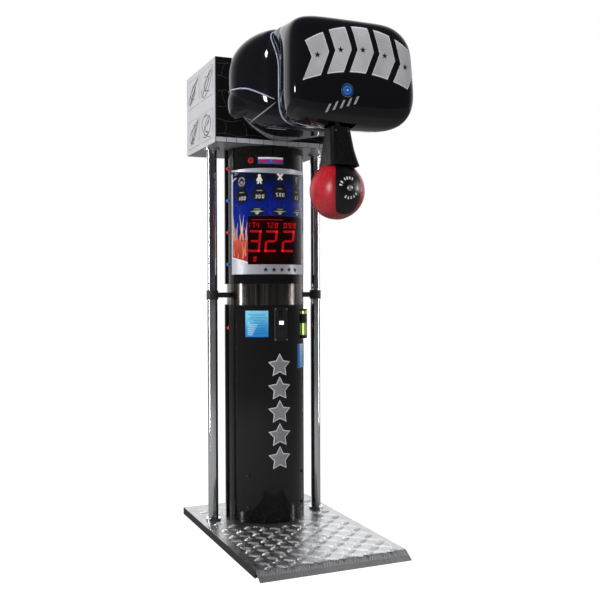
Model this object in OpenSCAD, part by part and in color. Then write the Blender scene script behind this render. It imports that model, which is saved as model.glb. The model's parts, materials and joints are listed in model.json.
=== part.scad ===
// Boxing punch machine: a punch ball hangs on a swing arm under a giant glove, and the glove
// grows out of a box on a round column with a score display, coin and banknote entries and
// two chrome poles, all standing on a tread plate.
// +Z is up and the ball side faces -Y. The origin is on the floor, under the middle of the
// overall box.

/* [Base] */
// Width of the tread plate
plate_w = 680; // [620:5:780]
// Flat run of the tread plate, from its rear edge to the bend
plate_run = 1054; // [900:2:1300]
// Length of the sloping front lip
ramp_run = 50; // [30:1:80]
// Height of the tread surface above the floor
base_h = 35; // [28:1:60]
// Thickness of the tread plate
plate_t = 4; // [2:0.5:6]
// Height of the rubber pads
pad_h = 6; // [4:1:10]
// Width of the base frame's rails
rail_w = 40; // [25:1:60]

/* [Column] */
// Diameter of the round column over its front shells
column_d = 376; // [340:2:460]
// Distance from the rear plane to the column axis
column_back = 280.5; // [250:0.5:330]
// Thickness of the sheet shells
shell_t = 3; // [2:0.5:5]
// How far the rear shells stand outside the front ones
rear_step = 11; // [6:1:20]
// Height of the lower column
lower_h = 1033; // [900:1:1200]
// Height of the bare steel band
band_h = 100; // [60:1:140]
// Height of the black collar above the band
collar_h = 45; // [20:1:80]
// Height of the display section
display_h = 508; // [420:1:600]
// Height of the black header under the box
header_h = 95; // [80:1:140]
// Size of the square chassis posts inside the column
post_w = 40; // [30:1:50]

/* [Display] */
// Half angle of the display panel, from the front
panel_half_deg = 77; // [60:1:80]
// Half angle of the score window
window_half_deg = 46; // [35:1:55]
// Height of the silver strip under the score window
strip_h = 46; // [30:1:70]
// Height of the score window
window_h = 229; // [160:1:260]
// Height of the big digits
digit_h = 92; // [60:1:120]
// Depth of the score board behind the window's front
board_depth = 62; // [50:1:70]
// Diameter of the side lamps
lamp_d = 16; // [8:1:24]
// Spacing of the side lamps
lamp_pitch = 153.5; // [120:0.5:180]

/* [Poles] */
// Diameter of the poles
pole_d = 48.3; // [38:0.1:60]
// Distance of each pole from the middle
pole_x = 270.3; // [255:0.1:300]
// Height of the clamps that tie the poles to the band
clamp_z = 1115; // [1085:1:1150]
// Diameter of the clamp arms
clamp_arm_d = 25; // [15:1:30]

/* [Box] */
// Width of the box
box_w = 625; // [560:1:760]
// Height of the box
box_h = 386; // [340:1:460]
// Depth of the box, from the rear plane forward
box_depth = 477.5; // [400:0.5:560]
// Thickness of the box's walls
box_t = 3; // [2:0.5:6]
// Thickness of the front panel
front_t = 12; // [6:1:20]

/* [Glove] */
// Sideways place of the hand's middle: the fingers reach past the wrist
hand_x = 52; // [40:1:56]
// Half width of the hand
hand_half_w = 276; // [250:1:285]
// Reach of the hand ahead of its middle plane
hand_front = 125; // [90:1:170]
// Reach of the hand behind its middle plane
hand_rear = 250; // [210:1:280]
// Height of the hand above its middle
hand_up = 184; // [150:1:240]
// Height of the hand below its middle
hand_down = 245; // [220:1:270]
// Half width of the cuff's bulge beyond its ends
cuff_bulge = 112; // [60:1:115]
// Wall of the moulded glove
glove_t = 6; // [4:0.5:9]

/* [Ball and arm] */
// Diameter of the punch ball
ball_d = 226; // [190:1:250]
// Distance from the rear plane to the hanging ball's centre
ball_reach = 1095; // [1040:1:1140]
// Height of the hanging ball's centre
ball_z = 1538; // [1500:1:1560]
// Height of the swing axle
axle_z = 1850; // [1835:1:1880]
// Diameter of the swing axle
axle_d = 20; // [14:1:26]
// Running clearance of shafts and buttons, on the radius
run_gap = 0.05; // [0.02:0.01:0.1]
// Diameter of the swing arm's tube
arm_d = 30; // [20:1:40]

/* [Buttons and doors] */
// Diameter of the start button's cap
start_d = 38; // [28:1:44]
// Height of the start button
start_z = 1921; // [1900:1:1960]
// Diameter of the select button's cap
select_d = 24; // [18:1:30]
// Width of the service door, measured round the shell in degrees
door_deg = 76; // [50:1:90]
// Height of the service door
door_h = 520; // [400:1:640]

/* [Hidden] */
$fn = 96;

seat = 0.3;
cut = 1;

// Overall depth runs from the rear plane to the front of the ball.
overall_d = ball_reach + ball_d / 2;
back_y = overall_d / 2;
col_y = back_y - column_back;
col_r = column_d / 2;
shell_in = col_r - shell_t;
rear_r = col_r + rear_step;
ball_y = back_y - ball_reach;
box_y = back_y - box_depth;

// Storeys of the column, from the tread plate up.
band_z = base_h + lower_h;
collar_z = band_z + band_h;
display_z = collar_z + collar_h;
header_z = display_z + display_h;
box_z = header_z + header_h;

ring_t = 4;
post_x = 118;
post_y = 60;

steel = [0.62, 0.63, 0.66];
chrome_c = [0.82, 0.83, 0.86];
silver = [0.72, 0.73, 0.76];
black = [0.05, 0.05, 0.06];
dark = [0.16, 0.16, 0.18];
red = [0.75, 0.06, 0.07];
blue = [0.10, 0.30, 0.80];

// Turns its children about the column axis, from the front towards +X.
module at_column(deg, z = 0) {
  translate([0, col_y, z]) rotate([0, 0, deg]) children();
}

// Curved sheet between two angles from the front, in the column's own frame.
module arc_sheet(r, t, deg0, deg1, h) {
  rotate([0, 0, deg0 - 90])
    rotate_extrude(angle = deg1 - deg0)
      translate([r - t, 0]) square([t, h]);
}

module tube(d, t, h) {
  rotate_extrude() translate([d / 2 - t, 0]) square([t, h]);
}

// A bar along the local radial direction, r0 to r1 from the column axis.
module radial_rod(d, r0, r1) {
  translate([0, -r0, 0]) rotate([90, 0, 0]) cylinder(d = d, h = r1 - r0);
}

module radial_box(w, h, r0, r1) {
  translate([-w / 2, -r1, -h / 2]) cube([w, r1 - r0, h]);
}

// ---------- Base ----------

pad_d = 50;
frame_h = base_h - plate_t - pad_h;
bend_y = back_y - plate_run;

module base_frame() color(black) translate([0, 0, pad_h]) {
  for (s = [-1, 1])
    translate([s * (plate_w - rail_w) / 2 - rail_w / 2, bend_y, 0])
      cube([rail_w, plate_run, frame_h]);
  for (y = [bend_y, bend_y + plate_run * 0.3, col_y - col_r, col_y + col_r - rail_w,
    back_y - rail_w])
    translate([-plate_w / 2 + rail_w, y, 0]) cube([plate_w - 2 * rail_w, rail_w, frame_h]);
}

// One bent sheet: the flat tread and its sloping lip.
module tread_plate() color(silver) {
  lip_y = bend_y - ramp_run;
  lip_z = 1;
  rotate([90, 0, 90]) linear_extrude(plate_w, center = true) polygon([
    [back_y, base_h], [back_y, base_h - plate_t], [bend_y, base_h - plate_t],
    [lip_y + plate_t, lip_z], [lip_y, lip_z], [lip_y, lip_z + plate_t / 2], [bend_y, base_h]
  ]);
}

module rubber_pads() color(dark)
  for (s = [-1, 1], y = [bend_y + rail_w, (bend_y + back_y) / 2, back_y - rail_w])
    translate([s * (plate_w / 2 - rail_w), y, 0]) cylinder(d = pad_d, h = pad_h);

// ---------- Column frame ----------

plate_levels = [base_h, band_z - ring_t, collar_z, header_z - ring_t, box_z - ring_t];

module post_spots() {
  for (s = [-1, 1]) translate([s * post_x, post_y]) children();
}

module ring_plates() color(steel) at_column(0)
  for (z = plate_levels) translate([0, 0, z]) linear_extrude(ring_t) difference() {
    circle(r = shell_in - seat);
    translate([0, -10]) square([150, 210], center = true);
    post_spots() square(post_w + 2 * seat, center = true);
  }

shelf_h = 110;
shelf_t = 4;
cash_w = 150;
cash_h = 300;
cash_y = -125;

// Two square posts from the base to the box, and the shelf between them for the cash box.
module chassis_posts() color(steel) at_column(0, base_h) {
  linear_extrude(box_z - base_h) post_spots() difference() {
    square(post_w, center = true);
    square(post_w - 6, center = true);
  }
  translate([-post_x + post_w / 2, cash_y, shelf_h - shelf_t])
    cube([2 * post_x - post_w, post_y + post_w / 2 - cash_y, shelf_t]);
}

// ---------- Lower column ----------

front_half_deg = 96;
rear_gap_deg = 1;
coin_deg = 1.5;
coin_w = 69;
coin_h = 158;
coin_z = 976;
note_deg = 58;
note_w = 62;
note_h = 142;
note_z = 974;
bolt_deg = [-47.5, 47.5];
bolt_z = [111, 259];
bolt_d = 8;

module lower_front_shell() color(black) difference() {
  at_column(0, base_h) arc_sheet(col_r, shell_t, -front_half_deg, front_half_deg, lower_h);
  at_column(coin_deg, coin_z) radial_box(coin_w - 8, coin_h - 8, col_r - 20, col_r + 20);
  at_column(note_deg, note_z) radial_box(note_w - 8, note_h - 8, col_r - 20, col_r + 20);
  for (a = bolt_deg, z = bolt_z) at_column(a, z) radial_rod(bolt_d, col_r - 20, col_r + 20);
  for (s = [-1, 1], z = [lamp_low_z])
    at_column(s * lamp_deg, z) radial_rod(lamp_stem_d, col_r - 20, col_r + 20);
}

// Rear half shell: a wider arc whose edges turn in to meet the front shell.
module rear_half(h) {
  a0 = front_half_deg + rear_gap_deg;
  lip_t = shell_t / rear_r * 180 / PI;
  arc_sheet(rear_r, shell_t, a0, 360 - a0, h);
  lip_r = rear_r - shell_t;
  for (a = [a0, 360 - a0 - lip_t]) arc_sheet(lip_r, lip_r - shell_in - seat, a, a + lip_t, h);
}

door_z = base_h + 190;
door_gap_deg = 0.35;
hinge_pin_d = 5;
hinge_barrel_d = 11;
hinge_h = 60;
hinge_deg = 180 - door_deg / 2;
hinge_r = rear_r + hinge_barrel_d / 2;
hinge_levels = [door_z + 60, door_z + door_h - 60 - hinge_h];
lock_d = 19;
lock_deg = 180 + door_deg / 2 - 6;
lock_z = door_z + door_h / 2;

module lower_rear_shell() color(black) difference() {
  at_column(0, base_h) rear_half(lower_h);
  at_column(0, door_z)
    arc_sheet(rear_r + cut, shell_t + 2 * cut, 180 - door_deg / 2, 180 + door_deg / 2, door_h);
}

module service_door() color(dark) {
  difference() {
    at_column(0, door_z + 1) arc_sheet(rear_r, shell_t, 180 - door_deg / 2 + door_gap_deg,
      180 + door_deg / 2 - door_gap_deg, door_h - 2);
    at_column(lock_deg, lock_z) radial_rod(lock_d + 2 * run_gap, rear_r - 20, rear_r + 20);
  }
  // Middle knuckle of each hinge, on the door's own leaf.
  for (z = hinge_levels) at_column(hinge_deg, z + hinge_h / 3) {
    difference() {
      union() {
        translate([0, -hinge_r, 0]) cylinder(d = hinge_barrel_d, h = hinge_h / 3);
        translate([1, -rear_r - 3, 0]) cube([18, 5, hinge_h / 3]);
      }
      translate([0, -hinge_r, -cut]) cylinder(d = hinge_pin_d + 2 * run_gap, h = hinge_h);
      translate([0, 0, -cut]) cylinder(r = rear_r + 0.05, h = hinge_h);
    }
  }
}

module door_hinges() color(steel)
  for (z = hinge_levels) at_column(hinge_deg, z) {
    translate([0, -hinge_r, 0]) cylinder(d = hinge_pin_d, h = hinge_h);
    for (dz = [0, hinge_h * 2 / 3 + seat]) difference() {
      union() {
        translate([0, -hinge_r, dz]) cylinder(d = hinge_barrel_d, h = hinge_h / 3 - seat);
        translate([-19, -rear_r - 3, dz]) cube([18, 5, hinge_h / 3 - seat]);
      }
      translate([0, 0, dz - cut]) cylinder(r = rear_r + 0.05, h = hinge_h);
    }
  }

// Cam lock: a barrel through the door, a flanged head outside and a cam inside.
module door_lock() color(chrome_c) at_column(lock_deg, lock_z) {
  difference() {
    union() {
      radial_rod(lock_d, rear_r - 12, rear_r + 1);
      radial_rod(lock_d + 6, rear_r + 0.8, rear_r + 4);
    }
    translate([0, -rear_r - 4, 0]) cube([2, 6, 10], center = true);
  }
  translate([-7, -rear_r + 12, -10]) cube([14, 3, 44]);
}

// Open-topped box that stands on the chassis shelf under the coin chute.
module cash_box() color(steel) translate([-cash_w / 2, col_y + cash_y, base_h + shelf_h])
  difference() {
    cube([cash_w, cash_w, cash_h]);
    translate([shell_t, shell_t, shell_t]) cube([cash_w - 2 * shell_t, cash_w - 2 * shell_t, cash_h]);
  }

coin_front = col_r + 8;
coin_back = col_r - 14;
slot_z = coin_z + 54;
reject_z = coin_z + 8;
cup_z = coin_z - 46;
cup_w = 44;
cup_h = 42;
cup_depth = 34;
reject_d = 16;
flap_t = 2.5;

module coin_plate() color(black) at_column(coin_deg, coin_z) difference() {
  union() {
    intersection() {
      radial_box(coin_w, coin_h, col_r + 0.05, coin_front);
      translate([0, 0, -coin_h]) cylinder(r = coin_front, h = 2 * coin_h);
    }
    radial_box(coin_w - 8 - 2 * seat, coin_h - 8 - 2 * seat, coin_back, col_r + 1);
    translate([0, 0, cup_z - coin_z])
      radial_box(cup_w + 6, cup_h + 6, coin_front - cup_depth - 3, coin_back + 1);
  }
  translate([0, 0, -coin_h]) difference() {
    cylinder(r = col_r + 0.05, h = 2 * coin_h);
    cylinder(r = shell_in - 0.05, h = 2 * coin_h);
    translate([-(coin_w - 8) / 2 + seat, -col_r - cut, 0])
      cube([coin_w - 8 - 2 * seat, 60, 2 * coin_h]);
  }
  translate([0, 0, slot_z - coin_z]) radial_box(14, 40, coin_back - cut, coin_front + cut);
  translate([0, 0, reject_z - coin_z])
    radial_rod(reject_d + 2 * run_gap, coin_back - cut, coin_front + cut);
  translate([0, 0, cup_z - coin_z])
    radial_box(cup_w, cup_h, coin_front - cup_depth, coin_front + cut);
  for (sx = [-1, 1], sz = [-1, 1])
    translate([sx * (coin_w / 2 - 6), 0, sz * (coin_h / 2 - 7)])
      radial_rod(4, coin_back - cut, coin_front + cut);
}

module coin_slot_bezel() color(chrome_c) at_column(coin_deg, slot_z) difference() {
  union() {
    radial_box(14 - 2 * run_gap, 40 - 2 * run_gap, coin_back, coin_front + 1);
    radial_box(20, 48, coin_front + 0.05, coin_front + 4);
  }
  radial_box(3.2, 32, coin_back - cut, coin_front + 4 + cut);
}

module coin_reject_button() color(red) at_column(coin_deg, reject_z) {
  radial_rod(reject_d, coin_back - 3, coin_front + 6);
  radial_rod(reject_d + 5, coin_back - 3, coin_back - seat);
}

flap_pin_z = cup_z + cup_h / 2 - 3;
flap_r = coin_front - 3;

module coin_return_flap() color(dark) at_column(coin_deg) {
  translate([-cup_w / 2 + 1, -flap_r - flap_t / 2, cup_z - cup_h / 2 + 1])
    cube([cup_w - 2, flap_t, flap_pin_z - cup_z + cup_h / 2 - 1]);
  translate([0, -flap_r, flap_pin_z]) rotate([0, 90, 0])
    cylinder(d = 4, h = cup_w - 2 * seat, center = true);
}

module coin_plate_screws() color(chrome_c)
  for (sx = [-1, 1], sz = [-1, 1]) at_column(coin_deg, coin_z + sz * (coin_h / 2 - 7))
    translate([sx * (coin_w / 2 - 6), 0, 0]) {
      radial_rod(3.9, coin_back, coin_front);
      radial_rod(7.5, coin_front - 0.9, coin_front + 2);
    }

chute_z = base_h + shelf_h + cash_h + 25;

// Slotted coin validator on the rear of the coin plate, with a chute down to the cash box.
module coin_mech() color(dark) at_column(coin_deg) {
  mech_r = coin_back - seat;
  difference() {
    translate([0, 0, slot_z - 12]) radial_box(58, 74, mech_r - 52, mech_r);
    translate([0, 0, slot_z]) radial_box(4, 34, mech_r - 40, mech_r + cut);
    translate([0, 0, reject_z]) radial_rod(reject_d + 9, mech_r - 9, mech_r + cut);
  }
  translate([-14, -mech_r + 55, chute_z]) difference() {
    cube([28, 16, slot_z - 10 - chute_z]);
    translate([3, 3, -cut]) cube([22, 10, slot_z]);
  }
  translate([-14, -mech_r + 51.9, slot_z - 40]) cube([28, 3.2, 20]);
}

module info_plates() color(blue) {
  at_column(0, 917) arc_sheet(col_r + 1.4, 1.2, -50.5, -16.5, 124);
  at_column(0, 762) arc_sheet(col_r + 1.4, 1.2, 34, 66, 117);
}

// Banknote entry: bezel with a glowing mouth and the transport behind it.
module bill_validator() color(dark) at_column(note_deg, note_z) {
  difference() {
    union() {
      difference() {
        radial_box(note_w, note_h, col_r - 2, col_r + 16);
        translate([0, 0, -note_h]) cylinder(r = col_r + 0.05, h = 2 * note_h);
      }
      radial_box(note_w - 8 - 2 * seat, note_h - 8 - 2 * seat, col_r - 70, col_r + 4);
    }
    translate([0, 0, 18]) radial_box(note_w - 22, 6, col_r - 40, col_r + 16 + cut);
  }
}

module column_bolts() color(steel)
  for (a = bolt_deg, z = bolt_z) at_column(a, z) {
    radial_rod(bolt_d - 0.2, col_r - 14, col_r + 1);
    radial_rod(14, col_r + 0.8, col_r + 6);
  }

star_count = 5;
star_z0 = 330;
star_pitch = 114;
star_r = 52;
star_t = 1.2;

function star_points(r, ratio) = [
  for (i = [0:9]) let (q = i % 2 == 0 ? r : r * ratio) [q * sin(36 * i), q * cos(36 * i)]
];

module silver_stars() color(silver)
  for (i = [0:star_count - 1]) at_column(0, star_z0 + i * star_pitch) intersection() {
    translate([0, 0, -star_r]) difference() {
      cylinder(r = col_r + 0.05 + star_t, h = 2 * star_r);
      translate([0, 0, -cut]) cylinder(r = col_r + 0.05, h = 2 * star_r + 2 * cut);
    }
    rotate([90, 0, 0]) linear_extrude(col_r + 10) polygon(star_points(star_r, 0.46));
  }

// ---------- Middle band ----------

module steel_band() color(silver) difference() {
  at_column(0, band_z) tube(column_d, shell_t, band_h);
  for (s = [-1, 1]) translate([s * (col_r + 20), col_y, clamp_z]) rotate([0, -s * 90, 0])
    cylinder(d = 10.4, h = 60);
}

// ---------- Upper column ----------

upper_h = box_z - collar_z;
select_deg = -40.7;
select_z = header_z + 26;
lamp_deg = 91;
lamp_stem_d = 10;
lamp_top_z = header_z + 2;
lamp_low_z = lamp_top_z - 5 * lamp_pitch;

module upper_front_shell() color(black) difference() {
  at_column(0, collar_z) arc_sheet(col_r, shell_t, -front_half_deg, front_half_deg, upper_h);
  at_column(0, display_z)
    arc_sheet(col_r + cut, shell_t + 2 * cut, -panel_half_deg, panel_half_deg, display_h);
  at_column(select_deg, select_z) radial_rod(select_d + 6.2, col_r - 20, col_r + 20);
  for (s = [-1, 1], i = [0:3]) at_column(s * lamp_deg, lamp_top_z - i * lamp_pitch)
    radial_rod(lamp_stem_d, col_r - 20, col_r + 20);
}

module upper_rear_shell() color(black) at_column(0, collar_z) rear_half(upper_h);

window_z = display_z + strip_h;
edge = 0.1;
edge_deg = 0.1;

module display_panel() color([0.08, 0.12, 0.35]) difference() {
  at_column(0, display_z + edge) arc_sheet(col_r, shell_t, -panel_half_deg + edge_deg,
    panel_half_deg - edge_deg, display_h - 2 * edge);
  at_column(0, window_z)
    arc_sheet(col_r + cut, shell_t + 2 * cut, -window_half_deg, window_half_deg, window_h);
}

module score_window() color([0.35, 0.03, 0.04, 0.5]) at_column(0, window_z + edge)
  arc_sheet(col_r, shell_t, -window_half_deg + edge_deg, window_half_deg - edge_deg,
    window_h - 2 * edge);

board_r = col_r - board_depth;
board_w = 2 * sqrt(pow(shell_in - 2, 2) - pow(board_r, 2));
board_t = 6;

module score_board() color([0.10, 0.03, 0.03]) at_column(0) {
  translate([-board_w / 2, -board_r, window_z - 6]) cube([board_w, board_t, window_h + 12]);
  // Stays that carry the board on the chassis posts.
  for (s = [-1, 1], z = [window_z + 20, window_z + window_h - 30])
    translate([s * post_x - 8, -board_r + board_t, z])
      cube([16, post_y - post_w / 2 + board_r - board_t, 3]);
}

big_digit_z = window_z + 58;
small_digit_z = window_z + 173;
low_digit_z = window_z + 12;
small_h = 24;
digit_t = 3;

// Seven-segment figure: segs is one flag per bar, from the top bar clockwise, middle last.
module seven_segment(h, segs) {
  w = h * 0.56;
  b = h * 0.13;
  g = h * 0.02;
  half = h / 2;
  bars = [
    [[g, h - b], [w - 2 * g, b]], [[w - b, half + g], [b, half - 2 * g]],
    [[w - b, g], [b, half - 2 * g]], [[g, 0], [w - 2 * g, b]], [[0, g], [b, half - 2 * g]],
    [[0, half + g], [b, half - 2 * g]], [[b + g, half - b / 2], [w - 2 * b - 2 * g, b]]
  ];
  for (i = [0:6]) if (segs[i] == 1) translate(bars[i][0]) square(bars[i][1]);
}

FIGURES = [
  [1, 1, 1, 1, 1, 1, 0], [0, 1, 1, 0, 0, 0, 0], [1, 1, 0, 1, 1, 0, 1], [1, 1, 1, 1, 0, 0, 1],
  [0, 1, 1, 0, 0, 1, 1], [1, 0, 1, 1, 0, 1, 1], [1, 0, 1, 1, 1, 1, 1], [1, 1, 1, 0, 0, 0, 0],
  [1, 1, 1, 1, 1, 1, 1], [1, 1, 1, 1, 0, 1, 1]
];

// A row of figures centred on x, standing on z, on the front of the score board.
module figure_row(x, z, h, pitch, figures) {
  n = len(figures);
  for (i = [0:n - 1])
    translate([x + (i - (n - 1) / 2) * pitch - h * 0.28, -board_r, z])
      rotate([90, 0, 0]) linear_extrude(digit_t) seven_segment(h, FIGURES[figures[i]]);
}

module score_digits() color([1, 0.15, 0.1]) at_column(0) {
  figure_row(0, big_digit_z, digit_h, digit_h * 0.78, [8, 2, 2]);
  figure_row(-80, small_digit_z, small_h, small_h * 0.8, [1, 7, 4]);
  figure_row(0, small_digit_z, small_h, small_h * 0.8, [7, 2, 0]);
  figure_row(80, small_digit_z, small_h, small_h * 0.8, [0, 9, 9]);
  figure_row(-80, low_digit_z, small_h, small_h * 0.8, [0]);
}

trim_t = 1.2;
trim_r = col_r + 0.05 + trim_t;
trim_deg = 3;
arch_h = 20;

module display_trims() color(silver) at_column(0) {
  for (s = [-1, 1]) translate([0, 0, display_z + strip_h])
    arc_sheet(trim_r, trim_t, s * (panel_half_deg - trim_deg / 2) - trim_deg / 2,
      s * (panel_half_deg - trim_deg / 2) + trim_deg / 2, display_h - strip_h - arch_h);
  translate([0, 0, display_z])
    arc_sheet(trim_r, trim_t, -panel_half_deg, panel_half_deg, strip_h - edge);
  translate([0, 0, header_z - arch_h + edge])
    arc_sheet(trim_r, trim_t, -panel_half_deg, panel_half_deg, arch_h);
}

module header_tag() color([0.2, 0.25, 0.6]) at_column(0, header_z + 9)
  arc_sheet(trim_r, trim_t, -30.5, 6.5, 32);

button_flange = 5;

module select_button() color(red) at_column(select_deg, select_z) {
  radial_rod(select_d, col_r - 8, col_r + 7);
  radial_rod(select_d + 10, col_r - 8, col_r - 5);
}

hand_mid_y = box_y - 581.5;
start_face = hand_mid_y - hand_front;
start_travel = 4;

module button_bezels() color(chrome_c) {
  at_column(select_deg, select_z) difference() {
    union() {
      radial_rod(select_d + 6, col_r - 4.5, col_r + 2);
      radial_rod(select_d + 10, col_r + 0.4, col_r + 3);
    }
    radial_rod(select_d + 2 * run_gap, col_r - 20, col_r + 20);
  }
  translate([0, start_face + glove_t + 8, start_z]) rotate([90, 0, 0]) difference() {
    union() {
      cylinder(d = start_d + 8, h = glove_t + 12);
      translate([0, 0, glove_t + 8.5]) cylinder(d = start_d + 14, h = 4);
    }
    translate([0, 0, -cut]) cylinder(d = start_d + 2 * run_gap, h = glove_t + 20);
  }
}

module start_button() color(blue) translate([0, start_face + glove_t + 6, start_z])
  rotate([90, 0, 0]) {
    cylinder(d = start_d, h = glove_t + 15);
    translate([0, 0, -6]) cylinder(d = start_d - 8, h = 7);
  }

// One lamp: a stem through the shell with a domed lens outside.
module side_lamp(deg, z) at_column(deg, z) {
  radial_rod(lamp_stem_d - 0.2, shell_in, col_r + 1);
  radial_rod(lamp_d, col_r + 0.6, col_r + 3);
  translate([0, -col_r - 3, 0]) intersection() {
    sphere(d = lamp_d - 2);
    rotate([90, 0, 0]) cylinder(d = lamp_d, h = lamp_d);
  }
}

module lamps_red() color(red)
  for (s = [-1, 1], i = [0, 2, 5]) side_lamp(s * lamp_deg, lamp_top_z - i * lamp_pitch);

module lamps_blue() color(blue)
  for (s = [-1, 1], i = [1, 3]) side_lamp(s * lamp_deg, lamp_top_z - i * lamp_pitch);

// ---------- Poles ----------

pole_t = 2;
flange_d = 72;
flange_h = 10;

module pole(s) translate([s * pole_x, col_y, base_h]) tube(pole_d, pole_t, box_z - base_h);

module left_pole() color(chrome_c) pole(-1);
module right_pole() color(chrome_c) pole(1);

module pole_flanges() color(chrome_c)
  for (s = [-1, 1], z = [base_h, box_z - flange_h])
    translate([s * pole_x, col_y, z]) difference() {
      cylinder(d = flange_d, h = flange_h);
      translate([0, 0, -cut]) cylinder(d = pole_d + 2 * run_gap, h = flange_h + 2 * cut);
    }

clamp_h = 44;
clamp_wall = 4;

module pole_clamps() color(black)
  for (s = [-1, 1]) translate([s * pole_x, col_y, clamp_z]) {
    translate([0, 0, -clamp_h / 2]) difference() {
      cylinder(d = pole_d + 2 * clamp_wall, h = clamp_h);
      translate([0, 0, -cut]) cylinder(d = pole_d + 2 * run_gap, h = clamp_h + 2 * cut);
    }
    difference() {
      rotate([0, -s * 90, 0]) union() {
        cylinder(d = clamp_arm_d, h = pole_x - col_r - 0.5);
        cylinder(d = 10, h = pole_x - col_r + 12);
      }
      cylinder(d = pole_d + 2 * clamp_wall - 1, h = clamp_h + 2, center = true);
    }
  }

// ---------- Box ----------

box_top = box_z + box_h;
panel_inset = 3;
boom_w = 60;
boom_z = axle_z + 130;

module box_shell() color(silver) difference() {
  translate([-box_w / 2, box_y + front_t, box_z]) cube([box_w, box_depth - front_t, box_h]);
  translate([-box_w / 2 + box_t, box_y, box_z + box_t])
    cube([box_w - 2 * box_t, box_depth + cut, box_h - 2 * box_t]);
  at_column(0, box_z - cut) translate([-60, -80, 0]) cube([120, 140, box_t + 2 * cut]);
}

module box_front_panel() color(black) difference() {
  translate([-box_w / 2, box_y, box_z]) cube([box_w, front_t, box_h]);
  translate([-boom_w / 2 - 1, box_y - cut, boom_z - boom_w / 2 - 1])
    cube([boom_w + 2, front_t + 2 * cut, boom_w + 2]);
}

inlet_x = 180;
inlet_z = box_z + 60;

module box_back_panel() color(silver) difference() {
  translate([-box_w / 2 + box_t + seat, back_y - box_t - panel_inset, box_z + box_t + seat])
    cube([box_w - 2 * (box_t + seat), box_t, box_h - 2 * (box_t + seat)]);
  translate([inlet_x - 14, back_y - 20, inlet_z - 10.5]) cube([28, 40, 21]);
  for (i = [-4:4]) translate([-120 + i * 16, back_y - 20, box_z + 250]) cube([6, 40, 70]);
}

// Panel-mounted mains inlet with its three-pin recess.
module mains_inlet() color(dark) translate([inlet_x, back_y - panel_inset, inlet_z]) difference() {
  union() {
    translate([-13.8, -22, -10.3]) cube([27.6, 23, 20.6]);
    translate([-20, 0.05, -14]) cube([40, 2.5, 28]);
  }
  translate([-11, -15, -7.5]) cube([22, 30, 15]);
}

module control_board() color([0.05, 0.35, 0.15]) {
  translate([-230, back_y - 60, box_z + box_t + 30]) cube([180, 3, 150]);
  for (x = [-225, -65]) translate([x, back_y - 62, box_z + box_t]) cube([10, 8, 34]);
}

module power_supply() color(steel) translate([60, back_y - 170, box_z + box_t])
  cube([100, 120, 50]);

// ---------- Glove ----------

hand_z = 2034;
hand_ea = [2.3, 8];
hand_eb = 5;
hand_ec = 4.6;
hand_lean = [-0.09, 0.01];
hand_flare = 130;
hand_narrow = 0.29;
hand_lower = 0.177;
hand_top_lower = -0.15;
joint_y = hand_mid_y + hand_rear * 0.8;
cuff_e = 2.6;
cuff_end_w = 200;
cuff_end_up = 120;
cuff_end_down = 241;
cuff_end_z = 2080;
cuff_up_bulge = 52;
cuff_shift = 10;
seam_dip = 0.08;
ring_points = 44;
hand_rings = 16;
cuff_rings = 12;

function spow(v, e) = sign(v) * pow(abs(v), e);

function mix(a, b, u) = a + (b - a) * u;

// One cross-section in a plane of constant y: a squarish oval with its own height above and
// below its middle. ea and lean each give a value for the finger side and one for the thumb
// side: how square the side is, and how far it leans as it rises. flare widens the top of the
// thumb side.
function oval(cx, y, cz, hw, up, down, ea, ec, lean, flare) = [
  for (i = [0:ring_points - 1])
    let (
      a = 360 * i / ring_points, thumbward = (1 - cos(a)) / 2,
      v = spow(sin(a), 2 / ec), dz = v * (v > 0 ? up : down),
      x = hw * spow(cos(a), 2 / mix(ea[0], ea[1], thumbward))
        + mix(lean[0], lean[1], thumbward) * dz - flare * thumbward * pow(max(v, 0), 3)
    )
    [cx + x, y, cz + dz]
];

// Angle along the hand's depth curve at which it reaches the seam with the cuff.
hand_end = asin(pow((joint_y - hand_mid_y) / hand_rear, hand_eb / 2));

function hand_ring(phi, t) = let (
  v = spow(sin(phi), 2 / hand_eb), k = pow(cos(phi), 2 / hand_eb), rear = max(v, 0),
  y = hand_mid_y + v * (v < 0 ? hand_front - t : hand_rear)
) oval(hand_x, y, hand_z, (hand_half_w * (1 - hand_narrow * rear)) * k - t,
  hand_up * (1 - hand_top_lower * rear) * k - t, hand_down * (1 - hand_lower * rear) * k - t,
  hand_ea, hand_ec, hand_lean, hand_flare * rear);

seam_k = pow(cos(hand_end), 2 / hand_eb);
seam_v = pow(sin(hand_end), 2 / hand_eb);
seam_w = hand_half_w * (1 - hand_narrow * seam_v) * seam_k;
seam_up = hand_up * (1 - hand_top_lower * seam_v) * seam_k;
seam_down = hand_down * (1 - hand_lower * seam_v) * seam_k;

// Cuff section at u, from 0 at the seam to 1 at the box.
function cuff_ring(u, t) = let (
  s = sin(180 * u), dip = 1 + seam_dip * (1 - pow(1 - min(u / 0.1, 1), 2)) * (1 - u),
  q = 1 - pow(1 - u, 4)
) oval(mix(hand_x, 0, u) - cuff_shift * s, mix(joint_y, box_y, u), mix(hand_z, cuff_end_z, u),
  mix(seam_w, cuff_end_w, u) * dip + cuff_bulge * s - t,
  mix(seam_up, cuff_end_up, u) * dip + cuff_up_bulge * s - t,
  mix(seam_down, cuff_end_down, u) * dip - t,
  mix(hand_ea, [cuff_e, cuff_e], q), mix(hand_ec, cuff_e, q), hand_lean * (1 - q),
  hand_flare * seam_v * (1 - q));

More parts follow.
